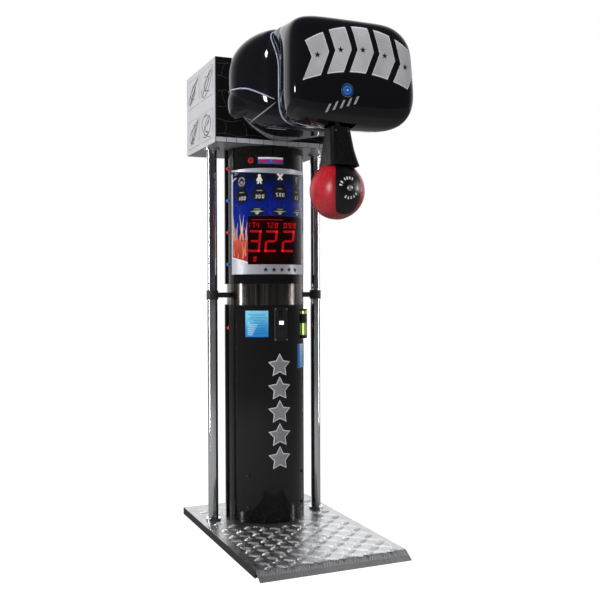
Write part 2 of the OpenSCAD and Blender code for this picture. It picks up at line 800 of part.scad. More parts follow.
module loft(rings) {
  n = len(rings[0]);
  m = len(rings);
  polyhedron(
    points = [for (ring = rings) each ring],
    faces = concat(
      [for (j = [0:m - 2], i = [0:n - 1]) let (k = (i + 1) % n)
        [j * n + i, j * n + k, (j + 1) * n + k, (j + 1) * n + i]],
      [[for (i = [n - 1:-1:0]) i]],
      [[for (i = [0:n - 1]) (m - 1) * n + i]]
    )
  );
}

hand_start = -87;

module hand_solid(t, extra) loft(concat(
  [for (j = [0:hand_rings]) hand_ring(mix(hand_start, hand_end, j / hand_rings), t)],
  extra > 0 ? [[for (p = hand_ring(hand_end, t)) p + [0, extra, 0]]] : []
));

slot_half_w = 58;
slot_front = ball_y - 56;
slot_rear = ball_y + 172;

module glove_hand() color(black) difference() {
  hand_solid(0, 0);
  hand_solid(glove_t, cut);
  translate([-slot_half_w, slot_front, axle_z - 120])
    cube([2 * slot_half_w, slot_rear - slot_front, 130]);
  translate([0, start_face - 20, start_z]) rotate([-90, 0, 0]) cylinder(d = start_d + 9, h = 60);
}

module cuff_solid(t, extra) loft([
  for (j = [0:cuff_rings]) let (u = j / cuff_rings)
    [for (p = cuff_ring(u, t)) p + [0, u == 0 ? -extra : u == 1 ? extra : 0, 0]]
]);

module glove_cuff() color(black) difference() {
  cuff_solid(0, 0);
  cuff_solid(glove_t, cut);
}

thumb_rings = 12;
thumb_start = 0.03;
thumb_end = 0.84;
thumb_half_h = 64;
thumb_half_w = 34;
thumb_tip_z = 1938;
thumb_root_z = 1964;

// Sideways place of the cuff's wall on the thumb's side, at u along the cuff.
function cuff_side(u) = mix(hand_x, 0, u)
  - 0.95 * (mix(seam_w, cuff_end_w, u) + cuff_bulge * sin(180 * u));

// Teardrop that lies along the cuff's side with its point at the seam.
function thumb_ring(q) = let (
  u = mix(thumb_start, thumb_end, q), k = pow(sin(180 * pow(mix(0.004, 0.99, q), 1.7)), 0.6)
) oval(cuff_side(u), mix(joint_y, box_y, u), mix(thumb_tip_z, thumb_root_z, q),
  thumb_half_w * k + 2, thumb_half_h * k + 2, thumb_half_h * k + 2, [2.2, 2.2], 2.2, [0, 0], 0);

module glove_thumb() color(dark) difference() {
  loft([for (j = [0:thumb_rings]) thumb_ring(j / thumb_rings)]);
  cuff_solid(-0.2, 0);
}

// ---------- Swing gear inside the glove ----------

bracket_x = 46;
bracket_t = 6;
bearing_d = 42;
bearing_w = 12;
hub_w = 60;
hub_d = 44;
swing_max = 55;
lug_r = 46;
lug_t = 12;
pin_d = 10;
pin_deg = 40;

// Box-section boom from the box's rear to the hinge, with a foot down to each chassis post.
module boom() color(steel) {
  boom_y0 = ball_y - 40;
  translate([0, boom_y0, boom_z]) rotate([-90, 0, 0])
    linear_extrude(back_y - panel_inset - box_t - seat - boom_y0) difference() {
      square(boom_w, center = true);
      square(boom_w - 8, center = true);
    }
  for (s = [-1, 1]) translate([s * post_x - post_w / 2, col_y + post_y - post_w / 2, box_z + box_t])
    cube([post_w, post_w, boom_z - boom_w / 2 - box_z - box_t]);
  translate([-post_x - post_w / 2, col_y + post_y - post_w / 2, boom_z - boom_w / 2 - 6])
    cube([2 * post_x + post_w, post_w, 6]);
}

module bracket_side(s) translate([s * bracket_x, ball_y, axle_z]) rotate([0, 90, 0])
  translate([0, 0, -bracket_t / 2]) difference() {
    union() {
      cylinder(d = bearing_d + 16, h = bracket_t);
      translate([-boom_z + boom_w / 2 + axle_z, -bearing_d / 2 - 8, 0])
        cube([boom_z - boom_w / 2 - axle_z, bearing_d + 16, bracket_t]);
      translate([-52, -bearing_d / 2 - 40, 0]) cube([52, 60, bracket_t]);
    }
    translate([0, 0, -cut]) cylinder(d = bearing_d + 0.1, h = bracket_t + 2 * cut);
    translate([-pin_y[1], pin_y[0], -cut]) cylinder(d = pin_d + 1, h = bracket_t + 2 * cut);
  }

pin_y = [-lug_r * sin(pin_deg) , lug_r * cos(pin_deg)];

module hinge_bracket() color(steel) {
  for (s = [-1, 1]) bracket_side(s);
  translate([-bracket_x - bracket_t / 2, ball_y - bearing_d / 2 - 8, boom_z - boom_w / 2 - 6])
    cube([2 * bracket_x + bracket_t, bearing_d + 16, 6]);
}

module hinge_bearings() color(chrome_c)
  for (s = [-1, 1]) translate([s * bracket_x, ball_y, axle_z]) rotate([0, 90, 0])
    translate([0, 0, -bearing_w / 2]) difference() {
      cylinder(d = bearing_d, h = bearing_w);
      translate([0, 0, -cut]) cylinder(d = axle_d + 2 * run_gap, h = bearing_w + 2 * cut);
    }

module hinge_axle() color(chrome_c) translate([0, ball_y, axle_z]) rotate([0, 90, 0])
  cylinder(d = axle_d, h = 2 * bracket_x + bearing_w + 8, center = true);

neck_z = ball_z + ball_d / 2 - 4;

// Hub, hanging tube, neck flange that carries the ball, and the lug that the latch catches.
module swing_arm() color(steel) {
  difference() {
    union() {
      translate([0, ball_y, axle_z]) rotate([0, 90, 0]) cylinder(d = hub_d, h = hub_w, center = true);
      translate([0, ball_y, neck_z]) cylinder(d = arm_d, h = axle_z - neck_z);
      translate([-hub_w / 2, ball_y - lug_t / 2, axle_z]) cube([20, lug_t, lug_r + 8]);
    }
    translate([0, ball_y, axle_z]) rotate([0, 90, 0])
      cylinder(d = axle_d, h = hub_w + 2 * cut, center = true);
    translate([0, ball_y, ball_z]) sphere(d = ball_d);
  }
  translate([0, ball_y, neck_z + 6]) tube(74, 74 / 2 - arm_d / 2, 6);
}

module ball() color(red) translate([0, ball_y, ball_z]) difference() {
  sphere(d = ball_d);
  translate([0, -ball_d / 2 - 3, 0]) rotate([-90, 0, 0]) cylinder(d = plug_d + 0.4, h = 9);
}

plug_d = 20;

module ball_plug() color(chrome_c) translate([0, ball_y - ball_d / 2 + 6, ball_z])
  rotate([90, 0, 0]) cylinder(d = plug_d, h = 5.5);

sleeve_top_z = axle_z - 64;
sleeve_low_z = ball_z + 92;
sleeve_t = 5;
sleeve_x = [43, 60];
sleeve_front = [40, 88];
sleeve_rear = [38, 62];

module sleeve_body(inset, reach) hull() {
  for (k = [0, 1]) {
    x = sleeve_x[k] - inset;
    f = sleeve_front[k] - inset;
    r = sleeve_rear[k] - inset;
    z = k == 0 ? sleeve_top_z + reach : sleeve_low_z - reach;
    translate([-x, ball_y - f, z]) cube([2 * x, f + r, 1]);
  }
}

module sleeve() color(black) difference() {
  sleeve_body(0, 0);
  sleeve_body(sleeve_t, 1);
  translate([0, ball_y, ball_z]) sphere(d = ball_d + 2 * seat);
}

rivet_d = 9;
rivet_z = sleeve_top_z - 14;
rivet_u = (sleeve_top_z + 1 - rivet_z + rivet_d / 2) / (sleeve_top_z + 1 - sleeve_low_z);

module sleeve_rivets() color(chrome_c)
  for (s = [-1, 1])
    translate([s * 26, ball_y - mix(sleeve_front[0], sleeve_front[1], rivet_u) - 0.1, rivet_z])
      rotate([90, 0, 0]) cylinder(d = rivet_d, h = 2);

module latch_solenoid() color(dark)
  translate([-bracket_x - bracket_t / 2 - 46, ball_y + pin_y[0] - 15, axle_z + pin_y[1] - 15])
    difference() {
      cube([46 - seat, 30, 30]);
      translate([16, 15, 15]) rotate([0, 90, 0]) cylinder(d = pin_d + 2 * run_gap, h = 40);
    }

module latch_pin() color(chrome_c)
  translate([-bracket_x - bracket_t / 2 - 26, ball_y + pin_y[0], axle_z + pin_y[1]])
    rotate([0, 90, 0]) cylinder(d = pin_d, h = 26 + bracket_t - 1);

stop_d = 16;
stop_deg = swing_max + asin(lug_t / 2 / lug_r) + asin(stop_d / 2 / lug_r) + 0.5;

module stop_bumper() color(dark)
  translate([-bracket_x + bracket_t / 2 + 0.1, ball_y - lug_r * sin(stop_deg),
    axle_z + lug_r * cos(stop_deg)]) rotate([0, 90, 0]) cylinder(d = stop_d, h = 22);

base_frame();
tread_plate();
rubber_pads();
ring_plates();
chassis_posts();
lower_front_shell();
lower_rear_shell();
steel_band();
upper_front_shell();
upper_rear_shell();
service_door();
door_hinges();
door_lock();
cash_box();
coin_mech();
coin_plate();
coin_slot_bezel();
coin_reject_button();
coin_return_flap();
coin_plate_screws();
info_plates();
bill_validator();
column_bolts();
silver_stars();
display_panel();
score_window();
score_board();
score_digits();
display_trims();
header_tag();
select_button();
button_bezels();
lamps_red();
lamps_blue();
left_pole();
right_pole();
pole_flanges();
pole_clamps();
box_shell();
box_front_panel();
box_back_panel();
mains_inlet();
control_board();
power_supply();
glove_hand();
glove_cuff();
glove_thumb();
start_button();
boom();
hinge_bracket();
hinge_bearings();
hinge_axle();
swing_arm();
ball();
ball_plug();
sleeve();
sleeve_rivets();
latch_solenoid();
latch_pin();
stop_bumper();
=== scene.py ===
"""Looks of the boxing punch machine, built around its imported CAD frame. Metres, +Z up, front is -Y."""

import json
import math

import bmesh
import bpy
from mathutils import Matrix, Vector, noise
from mathutils.bvhtree import BVHTree


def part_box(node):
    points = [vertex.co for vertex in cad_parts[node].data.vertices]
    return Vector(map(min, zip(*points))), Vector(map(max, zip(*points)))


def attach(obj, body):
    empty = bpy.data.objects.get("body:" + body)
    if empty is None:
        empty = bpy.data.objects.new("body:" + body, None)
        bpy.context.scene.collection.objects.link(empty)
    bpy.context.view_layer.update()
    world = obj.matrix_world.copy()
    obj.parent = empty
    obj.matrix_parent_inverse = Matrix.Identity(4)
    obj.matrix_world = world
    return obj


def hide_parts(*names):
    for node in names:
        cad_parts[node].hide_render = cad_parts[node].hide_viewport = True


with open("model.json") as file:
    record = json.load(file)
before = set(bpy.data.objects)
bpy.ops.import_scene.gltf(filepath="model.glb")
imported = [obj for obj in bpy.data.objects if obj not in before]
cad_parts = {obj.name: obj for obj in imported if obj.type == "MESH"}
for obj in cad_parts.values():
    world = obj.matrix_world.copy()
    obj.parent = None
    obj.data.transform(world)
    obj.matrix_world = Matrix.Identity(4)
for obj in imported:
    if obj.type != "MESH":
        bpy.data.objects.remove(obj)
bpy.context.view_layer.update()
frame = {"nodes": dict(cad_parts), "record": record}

MM = 0.001
TURN = 2 * math.pi

# ---------- Places taken from the frame ----------

band_low, band_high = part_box("steel_band")
col_x = (band_low.x + band_high.x) / 2
col_y = (band_low.y + band_high.y) / 2
col_r = (band_high.x - band_low.x) / 2
plate_low, plate_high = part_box("tread_plate")
box_low, box_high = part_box("box_shell")
front_low, front_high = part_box("box_front_panel")
panel_low, panel_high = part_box("display_panel")
ball_low, ball_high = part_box("ball")
ball_mid = (ball_low + ball_high) / 2
ball_r = (ball_high.x - ball_low.x) / 2
axle_low, axle_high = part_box("hinge_axle")
axle = (axle_low + axle_high) / 2
start_low, start_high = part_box("start_button")
start_mid = (start_low + start_high) / 2
COLUMN_AXIS = Vector((col_x, col_y, 0))
UP = Vector((0, 0, 1))


# ---------- Mesh helpers ----------

def link_object(name, data):
    thing = bpy.data.objects.new(name, data)
    bpy.context.scene.collection.objects.link(thing)
    return thing


def add_object(name, mesh, body, slot, material=None):
    """A piece that rides on a body, in its slot's own material unless it is given another."""
    piece = link_object(name, mesh)
    piece.data.materials.append(material or materials[slot])
    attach(piece, body)
    return piece


def mesh_from(name, verts, faces, smooth=True):
    mesh = bpy.data.meshes.new(name)
    mesh.from_pydata([tuple(v) for v in verts], [], faces)
    mesh.validate()
    mesh.polygons.foreach_set("use_smooth", [smooth] * len(mesh.polygons))
    return mesh


def fix_normals(mesh):
    bm = bmesh.new()
    bm.from_mesh(mesh)
    bmesh.ops.recalc_face_normals(bm, faces=bm.faces)
    bm.to_mesh(mesh)
    bm.free()
    return mesh


def smooth_by_angle(mesh, degrees=35):
    """Shade smooth, with the edges sharper than the angle kept crisp."""
    mesh.polygons.foreach_set("use_smooth", [True] * len(mesh.polygons))
    mesh.set_sharp_from_angle(angle=math.radians(degrees))
    return mesh


def loft_faces(count, rings, closed_ends=True):
    faces = []
    for j in range(rings - 1):
        for i in range(count):
            k = (i + 1) % count
            faces.append((j * count + i, j * count + k, (j + 1) * count + k, (j + 1) * count + i))
    if closed_ends:
        faces.append(tuple(reversed(range(count))))
        faces.append(tuple((rings - 1) * count + i for i in range(count)))
    return faces


def loft(name, rings, smooth=True):
    verts = [p for ring in rings for p in ring]
    return fix_normals(mesh_from(name, verts, loft_faces(len(rings[0]), len(rings)), smooth))


def tube_along(name, points, radius, sides=10, closed=False):
    """A round bead swept along points, as a closed mesh."""
    n = len(points)
    rings = []
    side = None
    for i, p in enumerate(points):
        if closed:
            ahead, behind = points[(i + 1) % n], points[i - 1]
        else:
            ahead, behind = points[min(i + 1, n - 1)], points[max(i - 1, 0)]
        direction = (Vector(ahead) - Vector(behind)).normalized()
        if side is None:
            side = direction.orthogonal().normalized()
        side = (side - direction * side.dot(direction)).normalized()
        other = direction.cross(side)
        r = radius(i / (n - 1)) if callable(radius) else radius
        rings.append([
            Vector(p) + side * (r * math.cos(TURN * k / sides)) + other * (r * math.sin(TURN * k / sides))
            for k in range(sides)
        ])
    verts = [p for ring in rings for p in ring]
    faces = loft_faces(sides, n, closed_ends=not closed)
    if closed:
        last = n - 1
        # The first ring is met at the turn that brings it nearest to the last one.
        shift = min(range(sides), key=lambda s: (rings[last][0] - rings[0][s]).length)
        for k in range(sides):
            k2 = (k + 1) % sides
            faces.append((last * sides + k, last * sides + k2, (k2 + shift) % sides, (k + shift) % sides))
    return fix_normals(mesh_from(name, verts, faces))


def shape_of(mesh):
    return [v.co.copy() for v in mesh.vertices], [tuple(p.vertices) for p in mesh.polygons]


def join_meshes(name, meshes):
    bm = bmesh.new()
    for mesh in meshes:
        bm.from_mesh(mesh)
        bpy.data.meshes.remove(mesh)
    out = bpy.data.meshes.new(name)
    bm.to_mesh(out)
    bm.free()
    return out


def box_mesh(name, low, high, bevel=0.0, segments=2):
    """A closed block with rounded edges."""
    bm = bmesh.new()
    bmesh.ops.create_cube(bm, size=1)
    size = Vector(high) - Vector(low)
    middle = (Vector(high) + Vector(low)) / 2
    for v in bm.verts:
        v.co = Vector((v.co.x * size.x, v.co.y * size.y, v.co.z * size.z)) + middle
    if bevel:
        bmesh.ops.bevel(bm, geom=bm.edges[:], offset=bevel, segments=segments, affect="EDGES", profile=0.5)
    mesh = bpy.data.meshes.new(name)
    bm.to_mesh(mesh)
    bm.free()
    return smooth_by_angle(mesh, 40)


def draped(name, outlines, surface, depth, step, smooth=False):
    """Flat outlines cut as thin plates and laid on a curved surface.

    surface(u, w, d) gives the place of the plate's point (u, w) at the height d over the surface;
    depth is (lowest, highest); step is the longest stretch that stays straight.
    """
    bm = bmesh.new()
    for outline in outlines:
        made = [bm.verts.new((u, w, 0)) for u, w in outline]
        bm.faces.new(made)
    for axis in (0, 1):
        values = [v.co[axis] for v in bm.verts]
        cut = math.floor(min(values) / step) * step + step / 2
        while cut < max(values):
            place, normal = Vector((0, 0, 0)), Vector((0, 0, 0))
            place[axis], normal[axis] = cut, 1
            bmesh.ops.bisect_plane(bm, geom=bm.verts[:] + bm.edges[:] + bm.faces[:], dist=1e-7,
                                   plane_co=place, plane_no=normal)
            cut += step
    bmesh.ops.triangulate(bm, faces=bm.faces[:])
    top = bmesh.ops.extrude_face_region(bm, geom=bm.faces[:])
    for v in bm.verts:
        v.co.z = depth[0]
    for v in [g for g in top["geom"] if isinstance(g, bmesh.types.BMVert)]:
        v.co.z = depth[1]
    for v in bm.verts:
        v.co = surface(v.co.x, v.co.y, v.co.z)
    bmesh.ops.recalc_face_normals(bm, faces=bm.faces)
    mesh = bpy.data.meshes.new(name)
    bm.to_mesh(mesh)
    bm.free()
    return smooth_by_angle(mesh, 40) if smooth else mesh


def boolean_cut(mesh, cutters):
    """mesh less each cutter mesh, worked out with the exact solver."""
    target = link_object("cut_target", mesh)
    helpers = []
    for i, cutter in enumerate(cutters):
        helper = link_object(f"cutter_{i}", cutter)
        helpers.append(helper)
        modifier = target.modifiers.new(f"cut_{i}", "BOOLEAN")
        modifier.operation = "DIFFERENCE"
        modifier.solver = "EXACT"
        modifier.object = helper
    bpy.context.view_layer.update()
    evaluated = target.evaluated_get(bpy.context.evaluated_depsgraph_get())
    result = bpy.data.meshes.new_from_object(evaluated)
    for thing in [target] + helpers:
        bpy.data.objects.remove(thing)
    return result


# ---------- Outlines, in metres about their own middle ----------

def star(r, ratio=0.46, points=5, turn=0.0):
    count = 2 * points
    radii = [r, r * ratio] * points
    return [(radii[i] * math.sin(TURN * i / count + turn), radii[i] * math.cos(TURN * i / count + turn))
            for i in range(count)]


def ellipse(rx, ry, count=40):
    return [(rx * math.cos(TURN * i / count), ry * math.sin(TURN * i / count)) for i in range(count)]


def rectangle(u0, w0, u1, w1):
    return [(u0, w0), (u1, w0), (u1, w1), (u0, w1)]


def moved(outline, u, w, scale=1.0):
    return [(u + x * scale, w + y * scale) for x, y in outline]


def on_column(radius):
    """The column's surface, where u runs round it from the front towards +X and w is the height."""
    def place(u, w, d):
        a = u / radius
        return Vector((col_x + (radius + d) * math.sin(a), col_y - (radius + d) * math.cos(a), w))
    return place


def arc(deg):
    """Length round the column's front shells at an angle from the front."""
    return math.radians(deg) * col_r


# ---------- Node material helpers ----------

class Nodes:
    """Short names for building one material's node tree."""

    def __init__(self, material):
        self.tree = material.node_tree
        self.shader = self.tree.nodes["Principled BSDF"]
        self.output = self.tree.nodes["Material Output"]

    def add(self, kind, **settings):
        node = self.tree.nodes.new(kind)
        for key, value in settings.items():
            if key in node.inputs:
                node.inputs[key].default_value = value
            else:
                setattr(node, key, value)
        return node

    def link(self, source, target):
        self.tree.links.new(source, target)

    def coords(self, scale=(1, 1, 1), turn=(0, 0, 0)):
        """Object coordinates in metres, which are the frame's own, so a grain keeps its real size."""
        where = self.add("ShaderNodeTexCoord")
        mapping = self.add("ShaderNodeMapping")
        mapping.inputs["Scale"].default_value = scale
        mapping.inputs["Rotation"].default_value = turn
        self.link(where.outputs["Object"], mapping.inputs["Vector"])
        return mapping.outputs["Vector"]

    def noise(self, vector, scale, detail=3.0, rough=0.5):
        node = self.add("ShaderNodeTexNoise")
        node.inputs["Scale"].default_value = scale
        node.inputs["Detail"].default_value = detail
        node.inputs["Roughness"].default_value = rough
        self.link(vector, node.inputs["Vector"])
        return node.outputs["Fac"]

    def cells(self, vector, scale, feature="F1"):
        node = self.add("ShaderNodeTexVoronoi", feature=feature)
        node.inputs["Scale"].default_value = scale
        self.link(vector, node.inputs["Vector"])
        return node.outputs["Distance"]

    def ramp(self, value, stops, smooth=False):
        node = self.add("ShaderNodeValToRGB")
        node.color_ramp.interpolation = "EASE" if smooth else "LINEAR"
        elements = node.color_ramp.elements
        while len(elements) < len(stops):
            elements.new(0.5)
        for element, (place, colour) in zip(elements, stops):
            element.position = place
            element.color = colour if len(colour) == 4 else (*colour, 1)
        self.link(value, node.inputs["Fac"])
        return node.outputs["Color"]

    def span(self, value, low, high, source=(0.3, 0.7)):
        node = self.add("ShaderNodeMapRange")
        for key, number in zip(("From Min", "From Max", "To Min", "To Max"), (*source, low, high)):
            node.inputs[key].default_value = number
        self.link(value, node.inputs["Value"])
        return node.outputs["Result"]

    def bump(self, height, strength, distance, before=None):
        node = self.add("ShaderNodeBump")
        node.inputs["Strength"].default_value = strength
        node.inputs["Distance"].default_value = distance
        self.link(height, node.inputs["Height"])
        if before is not None:
            self.link(before, node.inputs["Normal"])
        return node.outputs["Normal"]

    def set(self, **values):
        for key, value in values.items():
            socket = self.shader.inputs[key.replace("_", " ")]
            if isinstance(value, bpy.types.NodeSocket):
                self.link(value, socket)
            else:
                socket.default_value = value


def new_material(name, base, roughness, metallic=0.0, **values):
    material = bpy.data.materials.new(name)
    material.use_nodes = True
    material.diffuse_color = (*base[:3], 1)
    nodes = Nodes(material)
    nodes.set(Base_Color=(*base[:3], 1), Roughness=roughness, Metallic=metallic, **values)
    return material, nodes


# ---------- Materials ----------

def lacquer(name, base, ripple, ripple_scale, rough=(0.05, 0.11), coat=0.35):
    """Deep gloss paint: a faint orange-peel ripple, and dust and wiping marks in its roughness."""
    material, n = new_material(name, base, rough[0], Coat_Weight=coat, Coat_Roughness=0.04, Coat_IOR=1.5,
                               Specular_IOR_Level=0.4)
    place = n.coords()
    smudge = n.noise(place, 9, 5, 0.65)
    dust = n.cells(place, 420)
    tone = n.ramp(dust, [(0.0, [c * 2.2 + 0.012 for c in base]), (0.08, base)])
    n.set(Base_Color=tone, Roughness=n.span(smudge, *rough))
    wave = n.bump(n.noise(place, ripple_scale, 2, 0.4), ripple, 0.0006)
    n.set(Normal=n.bump(n.noise(place, 900, 2, 0.5), 0.05, 0.0002, wave))
    return material


def powder_coat(name, base, rough, grain=1400):
    """Matt baked paint: a fine grain, paler where it is rubbed."""
    material, n = new_material(name, base, rough)
    place = n.coords()
    wear = n.noise(place, 24, 5, 0.6)
    n.set(Base_Color=n.ramp(wear, [(0.35, base), (0.75, [c * 1.5 + 0.006 for c in base])]))
    n.set(Roughness=n.span(wear, rough - 0.08, rough + 0.1))
    n.set(Normal=n.bump(n.noise(place, grain, 3, 0.6), 0.35, 0.0004))
    return material


def brushed(name, base, rough, lines, strength=0.18, wear=0.12, metallic=1.0):
    """Metal with grain lines; lines is the noise scale along each axis, highest across the grain."""
    material, n = new_material(name, base, rough, metallic=metallic)
    grain = n.noise(n.coords(scale=lines), 1.0, 3, 0.6)
    mark = n.noise(n.coords(), 14, 5, 0.6)
    tone = n.ramp(grain, [(0.25, [c * (1 - wear) for c in base]),
                          (0.75, [min(1, c * (1 + wear)) for c in base])])
    n.set(Base_Color=tone, Roughness=n.span(mark, rough - 0.06, rough + 0.10))
    n.set(Normal=n.bump(grain, strength, 0.0003))
    return material


def band_with_painted_reflections():
    """Dark polished band with soft upright streaks of painted reflection in its colour, and a fine
    round-the-band grain.
    """
    material, n = new_material("polished_band", (0.12, 0.11, 0.105), 0.18, metallic=1.0)
    # Painted reflection: upright bands of dark and bright in the base colour stand in for the room mirrored
    # in the steel.
    streak = n.noise(n.coords(scale=(26, 26, 0.6)), 1.0, 4, 0.6)
    n.set(Base_Color=n.ramp(streak,
                            [(0.30, (0.045, 0.036, 0.034)), (0.52, (0.17, 0.15, 0.14)),
                             (0.68, (0.50, 0.46, 0.43))]))
    n.set(Roughness=n.span(n.noise(n.coords(), 14, 5, 0.6), 0.12, 0.26))
    n.set(Normal=n.bump(n.noise(n.coords(scale=(3, 3, 1300)), 1.0, 3, 0.6), 0.10, 0.0003))
    return material


def leather(name, base, rough, grain=520, coat=0.18, sheen=0.06):
    """Split cowhide: pebbled cells, creases, and colour that varies in soft patches."""
    material, n = new_material(name, base, rough, Coat_Weight=coat, Coat_Roughness=0.3, Sheen_Weight=sheen,
                               Specular_IOR_Level=0.35 + coat)
    place = n.coords()
    pebble = n.cells(place, grain)
    crease = n.noise(place, 70, 6, 0.7)
    mottle = n.noise(place, 16, 4, 0.6)
    tone = n.ramp(mottle, [(0.3, [c * 0.72 for c in base]), (0.7, [min(1, c * 1.15) for c in base])])
    n.set(Base_Color=tone, Roughness=n.span(crease, rough - 0.08, rough + 0.12))
    first = n.bump(pebble, 0.35, 0.0007)
    n.set(Normal=n.bump(crease, 0.22, 0.0012, first))
    return material


def lit_plastic(name, base, glow, rough=0.22, speckle=0.9):
    """Translucent lens or cap with light behind it, a little uneven."""
    material, n = new_material(name, base, rough, Coat_Weight=0.8, Coat_Roughness=0.06,
                               Emission_Strength=glow)
    cloud = n.noise(n.coords(), 160, 2, 0.5)
    tone = n.ramp(cloud, [(0.3, [c * speckle for c in base]), (0.7, base)])
    n.set(Base_Color=tone, Emission_Color=tone, Roughness=n.span(cloud, rough - 0.05, rough + 0.06))
    n.set(Normal=n.bump(n.noise(n.coords(), 600, 2, 0.5), 0.1, 0.0002))
    return material


def printed(name, base, accent, rough=0.3, glow=0.0, scale=26):
    """Film printed with a soft blend of two colours under a clear layer; a glow above zero is a painted glow,
    with no lamp behind the film.
    """
    material, n = new_material(name, base, rough, Coat_Weight=0.5, Coat_Roughness=0.08,
                               Emission_Strength=glow)
    cloud = n.noise(n.coords(), scale, 4, 0.55)
    tone = n.ramp(cloud, [(0.32, base), (0.72, accent)], smooth=True)
    dots = n.cells(n.coords(), 1500)
    n.set(Base_Color=tone, Emission_Color=tone, Roughness=n.span(dots, rough - 0.04, rough + 0.06, (0, 0.6)))
    n.set(Normal=n.bump(n.noise(n.coords(), 700, 2, 0.5), 0.08, 0.0002))
    return material


def graded(name, low_z, high_z, stops, rough=0.28, glow=0.0, wobble=0.03):
    """Film whose colour runs with height, from stops of (share of the height, colour); a glow above zero is a
    painted glow, with no lamp behind the film.
    """
    material, n = new_material(name, stops[0][1], rough, Coat_Weight=0.6, Coat_Roughness=0.06,
                               Emission_Strength=glow)
    place = n.coords()
    split = n.add("ShaderNodeSeparateXYZ")
    n.link(place, split.inputs["Vector"])
    cloud = n.noise(place, 22, 4, 0.6)
    shifted = n.add("ShaderNodeMath", operation="MULTIPLY_ADD")
    n.link(cloud, shifted.inputs[0])
    shifted.inputs[1].default_value = wobble
    n.link(split.outputs["Z"], shifted.inputs[2])
    tone = n.ramp(n.span(shifted.outputs[0], 0, 1, (low_z, high_z)), stops)
    n.set(Base_Color=tone, Emission_Color=tone)
    n.set(Roughness=n.span(n.noise(place, 40, 3, 0.5), rough - 0.05, rough + 0.08))
    n.set(Normal=n.bump(n.noise(place, 700, 2, 0.5), 0.08, 0.0002))
    return material


def smoked_acrylic():
    """Dark red see-through window with faint wiping marks."""
    material, n = new_material("smoked_acrylic", (0.016, 0.001, 0.0015), 0.05, Alpha=0.62, IOR=1.45)
    place = n.coords()
    n.set(Roughness=n.span(n.noise(place, 12, 5, 0.6), 0.03, 0.10))
    n.set(Base_Color=n.ramp(n.noise(place, 30, 3, 0.5),
                            [(0.3, (0.012, 0.0008, 0.001)), (0.7, (0.022, 0.0012, 0.0016))]))
    n.set(Normal=n.bump(n.noise(place, 60, 2, 0.4), 0.06, 0.0004))
    return material


def moulded(name, base, rough, grain=1100, strength=0.3):
    """Textured moulded plastic or rubber."""
    material, n = new_material(name, base, rough)
    place = n.coords()
    n.set(Base_Color=n.ramp(n.noise(place, 40, 4, 0.6),
                            [(0.3, [c * 0.8 for c in base]), (0.7, [c * 1.3 for c in base])]))
    n.set(Roughness=n.span(n.noise(place, 70, 4, 0.6), rough - 0.08, rough + 0.08))
    n.set(Normal=n.bump(n.cells(place, grain), strength, 0.0003))
    return material


def painted_reflection_silver():
    """Silver lacquer with fine metal flake, used as painted reflection: it colours the box's glossy black
    sides as pale as the bright light they mirror.
    """
    base = (0.60, 0.60, 0.63)
    material, n = new_material("painted_reflection_silver_lacquer", base, 0.32, metallic=0.35, Coat_Weight=0.5,
                               Coat_Roughness=0.12)
    place = n.coords()
    flake = n.cells(place, 2400)
    cloud = n.noise(place, 5, 4, 0.6)
    tone = n.ramp(cloud, [(0.3, [c * 0.93 for c in base]), (0.7, [c * 1.06 for c in base])])
    n.set(Base_Color=tone, Roughness=n.span(flake, 0.26, 0.40, (0, 0.6)))
    n.set(Normal=n.bump(flake, 0.05, 0.0002))
    return material


def tread_metal(name, base):
    """Rolled aluminium with patches of dirt and scuffs across it."""
    material, n = new_material(name, base, 0.3, metallic=0.95)
    place = n.coords()
    dirt = n.noise(place, 7, 6, 0.7)
    scuff = n.noise(n.coords(scale=(90, 12, 30)), 1.0, 4, 0.7)
    tone = n.ramp(dirt, [(0.3, [c * 0.8 for c in base]), (0.65, base)])
    n.set(Base_Color=tone, Roughness=n.span(scuff, 0.20, 0.46))
    n.set(Normal=n.bump(scuff, 0.12, 0.0004))
    return material


